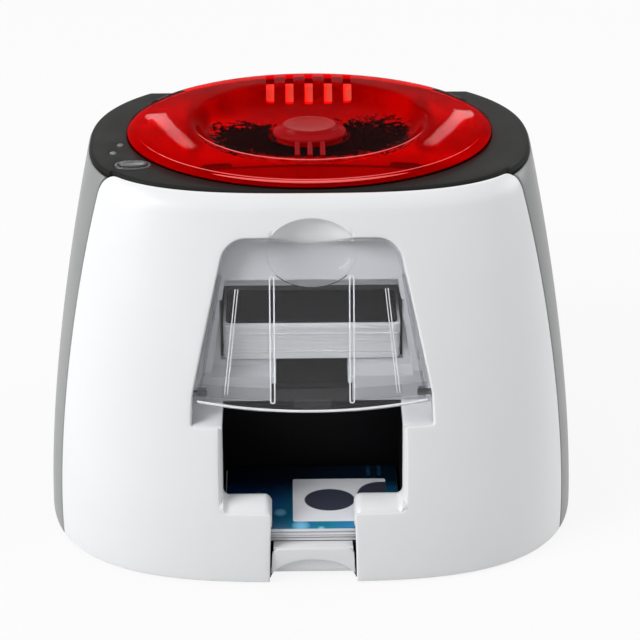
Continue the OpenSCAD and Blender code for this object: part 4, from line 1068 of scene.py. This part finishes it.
finished("lidRibBars", *joined(ribBars), "lid", "lid_red", look="ribRed", sharp=60)
# painted highlights: pale pink beads along the ridge and the rim's front
highlightLines = []
for radius, half, start, end, lift in l["beads"]:
    rows = []
    for a in np.radians(np.linspace(start, end, 90)):
        share = (math.degrees(a) - start) / (end - start)
        thin = half * max(math.sin(share * math.pi), 0.02) ** 0.45  # fades out towards its ends
        centre = ovalPlace(radius, a, float(np.interp(radius, *lidCurve.T)) + lift)
        outward = ovalPlace(radius + 1, a, 0) - ovalPlace(radius, a, 0)
        outward = outward / np.linalg.norm(outward)
        rows.append([centre + thin * (outward * math.cos(t) + deckUp * 0.5 * math.sin(t))
            for t in fullTurn(8)])
    highlightLines.append(sweepGrid(rows, caps=True))
finished("lidEdgeBeads", *joined(highlightLines), "lid", "lid_red", look="edgePink", sharp=80)

# a thin sheet under the lid, carrying painted shade for the works and painted lit walls under the slots
film = {"depth": 2.32, "thickness": 0.14, "inner": 20.5, "outer": 90.3}
filmSkin = lambda q, d: lidSkin(q, d + film["depth"])
loops = [lidRound(film["outer"]), lidRound(film["inner"], 80)]
verts, faces = trimmedSkin(loops, filmSkin, film["thickness"], 0.06, 3.0, 2.4, 1)
finished("lidUnderlayer", verts, faces, "lid", "lid_red", look="lidUnder")

knobProfile = [  # radius, height
    (17.6, -9.1), (17.6, -2.3), (18.3, -0.6), (18.4, 0.4), (17.9, 1.2), (16.4, 1.9), (14.6, 2.9), (13.6, 3.9),
    (12.9, 4.5), (12.2, 4.6), (11.2, 4.5), (8.8, 4.15), (5.5, 3.85), (2.8, 3.72), (0.6, 3.7)]
knobCurve = np.concatenate([curved(knobProfile[:10], 3)[:-1], curved(knobProfile[9:], 4)])
rows = [[ovalPlace(np.array(radius), a, w) for a in fullTurn(72)] for radius, w in knobCurve]
finished("pressKnobSkin", *sweepGrid(rows, caps=True), "knob", "knob_red", ["press_knob"], sharp=60)
print("lid and knob made")


def flapSkin(points, depth):
    u, v = points[:, 0], points[:, 1]
    w = np.sqrt(f["crown"] ** 2 - u ** 2) - f["crown"] - dish(u, v, f["scoopDeep"]) - depth
    return bayOrigin + right * u[:, None] + bayUp * v[:, None] + bayOut * w[:, None]


# a long upright ring with round ends, on the flap's inner face
def ringRib(u, low, high, half, width, tall):
    turn = np.linspace(0, math.pi, 11)
    path = [(u + half * math.cos(t), high + half * math.sin(t), math.cos(t), math.sin(t)) for t in turn]
    path += [(u - half, v, -1, 0) for v in np.linspace(high, low, 12)[1:-1]]
    path += [(u - half * math.cos(t), low - half * math.sin(t), -math.cos(t), -math.sin(t)) for t in turn]
    path += [(u + half, v, 1, 0) for v in np.linspace(low, high, 12)[1:-1]]
    w = width / 2
    section = [(-w, -0.1), (-w, tall * 0.8), (-w * 0.5, tall), (w * 0.5, tall), (w, tall * 0.8), (w, -0.1)]
    rings = [[under(x + nx * a, y + ny * a, b) for a, b in section] for x, y, nx, ny in path]
    return sweepGrid(rings, closedAlong=True)


under = lambda u, v, w=0.0: onBay(u, v, math.sqrt(f["crown"] ** 2 - u * u) - f["crown"] - f["thickness"] - w)
creases = [scoopLine(share, 0, f["height"] - 4.6) for share in scoopShares]
flapParts = [trimmedSkin([flapOutline()], flapSkin, f["thickness"], f["roll"], 2.4, 1.4, 4, creases)]
ribParts = []
for side in (1, -1):
    ribParts.append(ringRib(side * f["ringAt"], f["ringFrom"], f["ringTo"], 1.0, 0.62, 1.4))
    for shift in (-f["ribShift"], f["ribShift"]):  # the slanted pair of fine ribs
        ends = [under(side * u + shift, v, 1.1) for u, v in f["ribLine"]]
        ribParts.append(roundedBar(*ends, 0.5, 1.2, right, bayOut, 0.25))
    low, high = [np.array([side * u, v]) for u, v in f["side"]]  # the flap's turned-in side
    rows = []
    for k in range(9):
        u, v = low + (high - low) * k / 8
        deep = f["sideDeep"] * math.sin(math.pi * (0.12 + 0.76 * k / 8)) ** 0.5
        section = ((0.0, -0.1), (0.3, deep), (1.3, deep), (1.3, -0.1))
        rows.append([under(u - side * inner, v, w) for inner, w in section])
    flapParts.append(sweepGrid(rows, caps=True))
    pinUp, pinIn = f["pinUp"], f["pinIn"]
    disc = []
    for x, radius in f["disc"]:
        ring = [(pinUp + radius * math.cos(t), pinIn + radius * math.sin(t)) for t in fullTurn(28)]
        disc.append([onBay(side * x, v, w) for v, w in ring])
    flapParts.append(sweepGrid(disc, caps=True))
    ends = [onBay(side * f["armAt"], pinUp, w) for w in (pinIn, -2.4)]
    flapParts.append(roundedBar(*ends, 3.6, 2.6, right, bayUp, 0.5))
flapParts.append(roundedBar(under(-9, 4.2, 0.9), under(9, 4.2, 0.9), 4.6, 1.0, bayUp, bayOut, 0.4))
band, lip = [], []
for k in range(-30, 31):  # the thicker strip and the bead along the lower edge
    u = k / 30 * (f["width"] / 2 - 1.4)
    fall = f["drop"] * (u / (f["width"] / 2)) ** 2
    band.append([under(u, fall * 0.6 + v, w) for v, w in f["band"]])
    bead = [(0.1 + f["bead"] * math.cos(t), -0.55 + f["bead"] * math.sin(t)) for t in fullTurn(14)]
    top = math.sqrt(f["crown"] ** 2 - u * u) - f["crown"]
    lip.append([onBay(u, fall + 0.9 + v, top + w) for v, w in bead])
flapParts.append(sweepGrid(band, caps=True))
finished("feederFlapSkin", *joined(flapParts), "flap", "smoke_clear", ["feeder_flap"], sharp=42)
# the lip bead and ribs, in the paler plastic as painted highlights
finished("flapBrightLip", *joined([sweepGrid(lip, caps=True)] + ribParts), "flap", "smoke_clear",
    look="lipClear", sharp=60)
print("flap made")


pivot = onBay(0, f["pinUp"], f["pinIn"])
sweepRadius = math.hypot(f["pinUp"], f["pinIn"] - 0.8) + 0.4
shelfFront = pivot[1] + sweepRadius
recessLow = pivot[2] - sweepRadius
recess = {"inner": 43.6, "outer": 58.3, "outerTop": 57.6, "gapHalf": 19.7, "low": -0.2, "high": 11.5}
wallLow, wallHigh = recessLow + recess["low"], recessLow + recess["high"]
wallPlate = uprightPlate(shelfFront + 0.25)
sideName = {1: "Right", -1: "Left"}
for side in (1, -1):  # light wall behind each pivot, above the ledge
    x0, x1, x2 = side * recess["inner"], side * recess["outer"], side * recess["outerTop"]
    flat = rounded([(x0, wallLow), (x1, wallLow), (x2, wallHigh), (x0, wallHigh)], 0.4, 2)
    skin = trimmedSkin([flat], wallPlate, 1.0, 0.2, 3, 2, 2)
    finished("recessWall" + sideName[side], *skin, "case", "liner_light")

ledgeTop = mouth["recessLow"] + 0.1
for side in (1, -1):  # the shelf's light front, beside the gap for the cards
    x0, x1 = side * recess["gapHalf"], side * recess["inner"]
    flat = np.array([(x0, wallLow), (x1, wallLow), (x1, wallHigh), (x0, wallHigh)])
    skin = trimmedSkin([flat], wallPlate, 1.0, 0.2, 3, 2, 2)
    finished("shelfFront" + sideName[side], *skin, "case", "liner_light")
for side in (1, -1):  # the light ledge below each pivot
    across = np.linspace(mouth["inner"] + 0.2, mouth["recessHalf"] - 0.2, 8)
    front = [(side * x, float(casePoint(frontPhi(x, ledgeTop), ledgeTop)[1]) + 0.9) for x in across]
    back = [(side * x, shelfFront + 1.0) for x in across[::-1]]
    skin = trimmedSkin([np.array(front + back)], levelPlate(ledgeTop), 1.2, 0.2, 3, 2, 2)
    finished("recessLedge" + sideName[side], *skin, "case", "shell_white")

cardForm = {"long": 85.6, "wide": 54.0, "thick": 0.76, "corner": 3.0, "feed": 25, "tray": 9}
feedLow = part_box("feed_stack")[0][2] * 1000
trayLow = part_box("tray_stack")[0][2] * 1000
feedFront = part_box("feed_stack")[0][1] * 1000
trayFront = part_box("tray_stack")[0][1] * 1000


def cardBlank(name):  # one card with its corner radius and softened edges, a thousandth of a card above zero
    c = cardForm
    flat = rounded(rectangle(c["long"] / 2, 0, c["wide"]), c["corner"], 5)
    layers = ((0.35, 0.01), (0.0, 0.17), (0.0, c["thick"] - 0.18), (0.35, c["thick"] - 0.02))
    rows = [[(x, y, z) for x, y in inset(flat, e)] for e, z in layers]
    verts, faces = sweepGrid(rows, caps=True)
    mesh = bpy.data.meshes.new(name)
    mesh.from_pydata([tuple(v * 0.001) for v in verts], [], faces)
    bm = bmesh.new()
    bm.from_mesh(mesh)
    bmesh.ops.recalc_face_normals(bm, faces=bm.faces)
    bm.to_mesh(mesh)
    bm.free()
    thing = bpy.data.objects.new(name, mesh)
    bpy.context.scene.collection.objects.link(thing)
    return thing


repeatInputs = (
    ("Count", "NodeSocketInt", 10), ("Step", "NodeSocketVector", (0, 0, 0.00076)),
    ("Start", "NodeSocketVector", (0, 0, 0)), ("Slide", "NodeSocketFloat", 0.0002),
    ("Turn", "NodeSocketFloat", 0.002), ("Seed", "NodeSocketInt", 3))


def repeatTree(name, blank, material):  # instances of a blank piece up a line, each a little out of true
    tree = bpy.data.node_groups.new(name, "GeometryNodeTree")
    sockets = {}
    tree.interface.new_socket("Geometry", in_out="OUTPUT", socket_type="NodeSocketGeometry")
    for label, kind, value in repeatInputs:
        item = tree.interface.new_socket(label, in_out="INPUT", socket_type=kind)
        item.default_value = value
        sockets[label] = item.identifier
    n, k = tree.nodes, tree.links
    given, out = n.new("NodeGroupInput"), n.new("NodeGroupOutput")
    line = n.new("GeometryNodeMeshLine")
    for label, entry in (("Count", "Count"), ("Start", "Start Location"), ("Step", "Offset")):
        k.new(given.outputs[label], line.inputs[entry])
    source = n.new("GeometryNodeObjectInfo")
    source.inputs["Object"].default_value = blank
    place = n.new("GeometryNodeInstanceOnPoints")
    k.new(line.outputs["Mesh"], place.inputs["Points"])
    k.new(source.outputs["Geometry"], place.inputs["Instance"])
    for amount, offset in (("Slide", 0), ("Turn", 7)):
        chance = n.new("FunctionNodeRandomValue")
        chance.data_type = "FLOAT_VECTOR"
        seed = n.new("ShaderNodeMath")
        seed.inputs[1].default_value = offset
        k.new(given.outputs["Seed"], seed.inputs[0])
        k.new(seed.outputs[0], chance.inputs["Seed"])
        lowest, highest = n.new("ShaderNodeCombineXYZ"), n.new("ShaderNodeCombineXYZ")
        minus = n.new("ShaderNodeMath")
        minus.operation = "MULTIPLY"
        minus.inputs[1].default_value = -1
        k.new(given.outputs[amount], minus.inputs[0])
        for axis in ("XY" if amount == "Slide" else "Z"):
            k.new(given.outputs[amount], highest.inputs[axis])
            k.new(minus.outputs[0], lowest.inputs[axis])
        k.new(lowest.outputs[0], chance.inputs[0])
        k.new(highest.outputs[0], chance.inputs[1])
        if amount == "Slide":
            shift = n.new("GeometryNodeSetPosition")
            k.new(line.outputs["Mesh"], shift.inputs["Geometry"])
            k.new(chance.outputs[0], shift.inputs["Offset"])
            k.new(shift.outputs[0], place.inputs["Points"])
        else:
            k.new(chance.outputs[0], place.inputs["Rotation"])
    real = n.new("GeometryNodeRealizeInstances")
    paint = n.new("GeometryNodeSetMaterial")
    paint.inputs["Material"].default_value = material
    k.new(place.outputs[0], real.inputs[0])
    k.new(real.outputs[0], paint.inputs[0])
    k.new(paint.outputs[0], out.inputs[0])
    return tree, sockets


# runs a node tree and keeps its result as a plain mesh
def grown(name, tree, sockets, values, body, slot, replaces=(), look=None):
    holder = bpy.data.objects.new(name + "Maker", bpy.data.meshes.new(name + "Maker"))
    bpy.context.scene.collection.objects.link(holder)
    modifier = holder.modifiers.new("maker", "NODES")
    modifier.node_group = tree
    for label, value in values.items():
        modifier[sockets[label]] = value
    graph = bpy.context.evaluated_depsgraph_get()
    graph.update()
    mesh = bpy.data.meshes.new_from_object(holder.evaluated_get(graph))
    holder.modifiers.clear()
    bpy.data.objects.remove(holder)
    mesh.name = name
    finishedMesh(name, mesh, body, slot, replaces, 35, look, flip=False)


blank = cardBlank("blankCard")
c = cardForm
step = c["thick"] * 0.001  # from here to the piles in metres
feedStart = (0, feedFront * 0.001 + 0.0003, feedLow * 0.001)
trayStart = (0, trayFront * 0.001 + 0.0004, trayLow * 0.001)
topStart = (0, trayFront * 0.001 + 0.0002, trayLow * 0.001 + c["tray"] * c["thick"] * 0.001)
piles = (  # name, node, slot, look, count, start, slide, turn, seed
    ("feedCards", "feed_stack", "card_white", "cardWhite", c["feed"], feedStart, 0.00025, 0.0025, 5),
    ("trayCards", "tray_stack", "card_white", "cardPile", c["tray"], trayStart, 0.00055, 0.005, 11),
    ("printedCardSkin", "printed_card", "card_print", "cardPrint", 1, topStart, 0.0, 0.0, 1),
)
for name, node, slot, look, count, start, slide, turn, seed in piles:
    tree, sockets = repeatTree(name + "Tree", blank, finish[look])
    values = dict(Count=count, Start=start, Step=(0, 0, step), Slide=slide, Turn=turn, Seed=seed)
    grown(name, tree, sockets, values, "case", slot, [node], look)
bpy.data.objects.remove(blank)
stackTop = feedLow + c["feed"] * c["thick"]
weight = {"half": 41.5, "front": 2.2, "back": 33, "corner": 2.5, "top": 1.25, "thickness": 1.1}
plateFlat = rounded(rectangle(weight["half"], feedFront + weight["front"], feedFront + weight["back"]),
    weight["corner"])
plate = trimmedSkin([plateFlat], levelPlate(stackTop + weight["top"]), weight["thickness"], 0.35, 5, 3, 3)
finished("cardWeight", *plate, "case", "inner_black")
print("cards made")


lipForm = {
    "half": 19.8, "flare": 0.85, "top": 18.6, "corner": 4, "archHalf": 21, "archTop": 12, "thickness": 2.4,
    "shelfHalf": 19.4, "tunnelIn": (20.9, 11.9), "tunnelOut": (22.0, 13.0), "tunnelFrom": 0.24,
    "tunnelTo": math.pi - 0.24,
}
lipBox = [[v * 1000 for v in corner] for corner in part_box("tray_lip")]
arch = arc(lipForm["archHalf"], lipForm["archTop"], 0, math.pi, 41)
arch = [(x, z) for x, z in arch if abs(x) < lipForm["half"] - 0.2]
footHalf = lipForm["half"] + lipForm["flare"]
lipFoot, lipTop, lipHalf = lipBox[0][2] + 0.1, lipForm["top"], lipForm["half"]
flat = [(footHalf, lipFoot), (lipHalf, lipTop), (-lipHalf, lipTop), (-footHalf, lipFoot)]
flat = rounded(flat, [0, lipForm["corner"], lipForm["corner"], 0], 8)
outline = np.concatenate([flat, np.array(arch[::-1])])
lipParts = [trimmedSkin([outline], uprightPlate(lipBox[0][1]), lipForm["thickness"], 0.5, 2.5, 1.2, 4)]
lipBack = lipBox[0][1] + lipForm["thickness"]
shelfFlat = rounded(rectangle(lipForm["shelfHalf"], lipBack - 1.3, trayFront + 0.5), [0, 0, 0.3, 0.3], 4)
lipParts.append(trimmedSkin([shelfFlat], levelPlate(lipForm["top"] + 0.07), 1.4, 0.3, 3, 2, 2))
tunnelIn = arc(*lipForm["tunnelIn"], lipForm["tunnelFrom"], lipForm["tunnelTo"], 33)
tunnelOut = arc(*lipForm["tunnelOut"], lipForm["tunnelTo"], lipForm["tunnelFrom"], 33)
tunnel = [[(x, y, z) for x, z in tunnelIn + tunnelOut] for y in (lipBox[0][1] + 0.5, lipBack, lipBack + 1.4)]
lipParts.append(sweepGrid(tunnel, caps=True))
lipParts.append(trimmedSkin([np.array(tunnelIn)], uprightPlate(lipBack + 0.5), 0.8, 0.1, 3, 2, 1))
finished("trayLipSkin", *joined(lipParts), "case", "shell_white", ["tray_lip"], sharp=50)


def ovalRows(profile, centre, count=56):  # rows of an oval turned form on the deck
    turn, (u, v) = fullTurn(count), centre
    return [[onDeck(u + a * math.cos(t), v + b * math.sin(t), w) for t in turn] for a, b, w in profile]


place = (button["x"], button["v"])
ringRows = ovalRows(button["ring"], place)
finished("buttonRingSkin", *sweepGrid(ringRows, closedAlong=True), "case", "button_grey", ["button_ring"],
    sharp=50)
capRows = ovalRows(button["cap"], place)
finished("powerButtonSkin", *sweepGrid(capRows, caps=True), "button", "button_grey", ["power_button"],
    sharp=60)
lensParts = [sweepGrid(ovalRows(button["lens"], lens, 28), caps=True) for lens in button["lenses"]]
finished("statusLensSkins", *joined(lensParts), "case", "lens_grey", ["status_lenses"], sharp=60)
portForm = {
    "boreDeep": 9.9, "tongueWide": 5.6, "tongueTall": 3.2, "tongueShort": 1.7, "pinRadius": 0.95,
    "pinShort": 2.2,
}
usbBack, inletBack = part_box("usb_port")[1][1] * 1000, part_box("power_inlet")[1][1] * 1000
usbMiddle = rearParts["portZ"] - 0.2
tongue = [(rearParts["usbX"], y, usbMiddle - portForm["tongueTall"] / 2)
    for y in (usbBack - portForm["boreDeep"], usbBack - portForm["tongueShort"])]
tongue = roundedBar(*tongue, portForm["tongueWide"], portForm["tongueTall"], right, (0, 0, 1), 0.5)
finished("usbTongue", *tongue, "case", "port_black")
pinRows = []
bore, short, radius = portForm["boreDeep"], portForm["pinShort"], portForm["pinRadius"]
for share, back in ((1.0, bore), (1.0, short), (0.75, short - 0.3), (0.1, short - 0.35)):
    ring = [(share * radius * math.cos(t), share * radius * math.sin(t)) for t in fullTurn(24)]
    pinRows.append([(rearParts["jackX"] + x, inletBack - back, rearParts["portZ"] + z) for x, z in ring])
finished("jackPin", *sweepGrid(pinRows, caps=True), "case", "port_steel", sharp=50)
print("small parts made")


lookOut = {"place": (-0.00907, -0.86598, 0.5934), "forward": (0.01385, 0.86434, -0.50271), "lens": 110.19}
bpy.context.scene.view_settings.view_transform = "Standard"
camera = bpy.data.objects.new("camera", bpy.data.cameras.new("camera"))
bpy.context.scene.collection.objects.link(camera)
camera.data.sensor_width = 36
camera.data.lens = lookOut["lens"]
camera.data.clip_start = 0.02
camera.data.clip_end = 20
camera.location = lookOut["place"]
camera.rotation_euler = Vector(lookOut["forward"]).to_track_quat("-Z", "Y").to_euler()
bpy.context.scene.camera = camera

studio = {
    "sky": 0.385, "floor": (0.72, 0.72, 0.72), "floorGlow": 0.88,
    "lamps": (  # name, place, target, size, watts
        ("keyLamp", (-1.35, -0.66, 1.22), (0, 0, 0.08), (0.9, 0.9), 26.0),
        ("fillLamp", (1.5, 0.2, 0.85), (0, 0, 0.08), (1.0, 0.8), 11.0),
        ("topLamp", (0, 0.5, 1.6), (0, 0, 0.1), (1.2, 1.0), 2.4)),
    "windows": (  # name, spot on the lid, lean of the lid there
        ("windowLeft", (-69, -9), (-0.087, -0.025)), ("windowRight", (70, -7), (0.087, -0.02))),
    "windowSize": (0.03, 0.34), "windowAway": 1.3, "windowPower": 1.0,
}


def softbox(name, place, target, size, power):
    lamp = bpy.data.lights.new(name, "AREA")
    lamp.shape = "RECTANGLE"
    lamp.size, lamp.size_y = size
    lamp.energy = power
    thing = bpy.data.objects.new(name, lamp)
    bpy.context.scene.collection.objects.link(thing)
    thing.location = place
    thing.rotation_euler = (Vector(target) - Vector(place)).to_track_quat("-Z", "Y").to_euler()
    thing.visible_camera = False


for lamp in studio["lamps"]:
    softbox(*lamp)
for name, (u, v), lean in studio["windows"]:  # two narrow windows, mirrored in the lid's wings
    spot = onDeck(u, lidForm["centre"] + v, 4) * 0.001
    facing = deckUp + right * lean[0] + deckAlong * lean[1]
    facing = facing / np.linalg.norm(facing)
    ray = spot - np.array(lookOut["place"])
    ray = ray / np.linalg.norm(ray)
    bounce = ray - 2 * (ray @ facing) * facing
    place = tuple(spot + bounce * studio["windowAway"])
    softbox(name, place, tuple(spot), studio["windowSize"], studio["windowPower"])


def seenRays(t):  # 1 for what the camera, a mirror or clear plastic shows
    path = t.nodes.new("ShaderNodeLightPath").outputs
    seen = maths(t, "MAXIMUM", path["Is Camera Ray"], path["Is Glossy Ray"])
    return maths(t, "MAXIMUM", seen, path["Is Transmission Ray"])


world = bpy.data.worlds.new("paleRoom")
bpy.context.scene.world = world
world.use_nodes = True
t = SimpleNamespace(nodes=world.node_tree.nodes, links=world.node_tree.links)
sky, white = t.nodes["Background"], t.nodes.new("ShaderNodeBackground")
for background, strength in ((sky, studio["sky"]), (white, 1.0)):
    background.inputs["Color"].default_value = (1, 1, 1, 1)
    background.inputs["Strength"].default_value = strength
mixedShaders(t, seenRays(t), sky.outputs["Background"], white.outputs["Background"], "World Output")

floorMesh = bpy.data.meshes.new("floor")
floorMesh.from_pydata([(-6, -6, 0), (6, -6, 0), (6, 6, 0), (-6, 6, 0)], [], [(0, 1, 2, 3)])
floor = bpy.data.objects.new("floor", floorMesh)
bpy.context.scene.collection.objects.link(floor)
t = nodeTree("paleFloor")
feed(t, "Base Color", (*studio["floor"], 1))
feed(t, "Roughness", 0.9)
feed(t, "Specular IOR Level", 0.1)
glow = t.nodes.new("ShaderNodeEmission")
glow.inputs["Color"].default_value = (1, 1, 1, 1)
share = maths(t, "MULTIPLY", seenRays(t), studio["floorGlow"])  # the rest keeps the shadow
mixedShaders(t, share, t.shader.outputs["BSDF"], glow.outputs["Emission"])
floorMesh.materials.append(t.material)
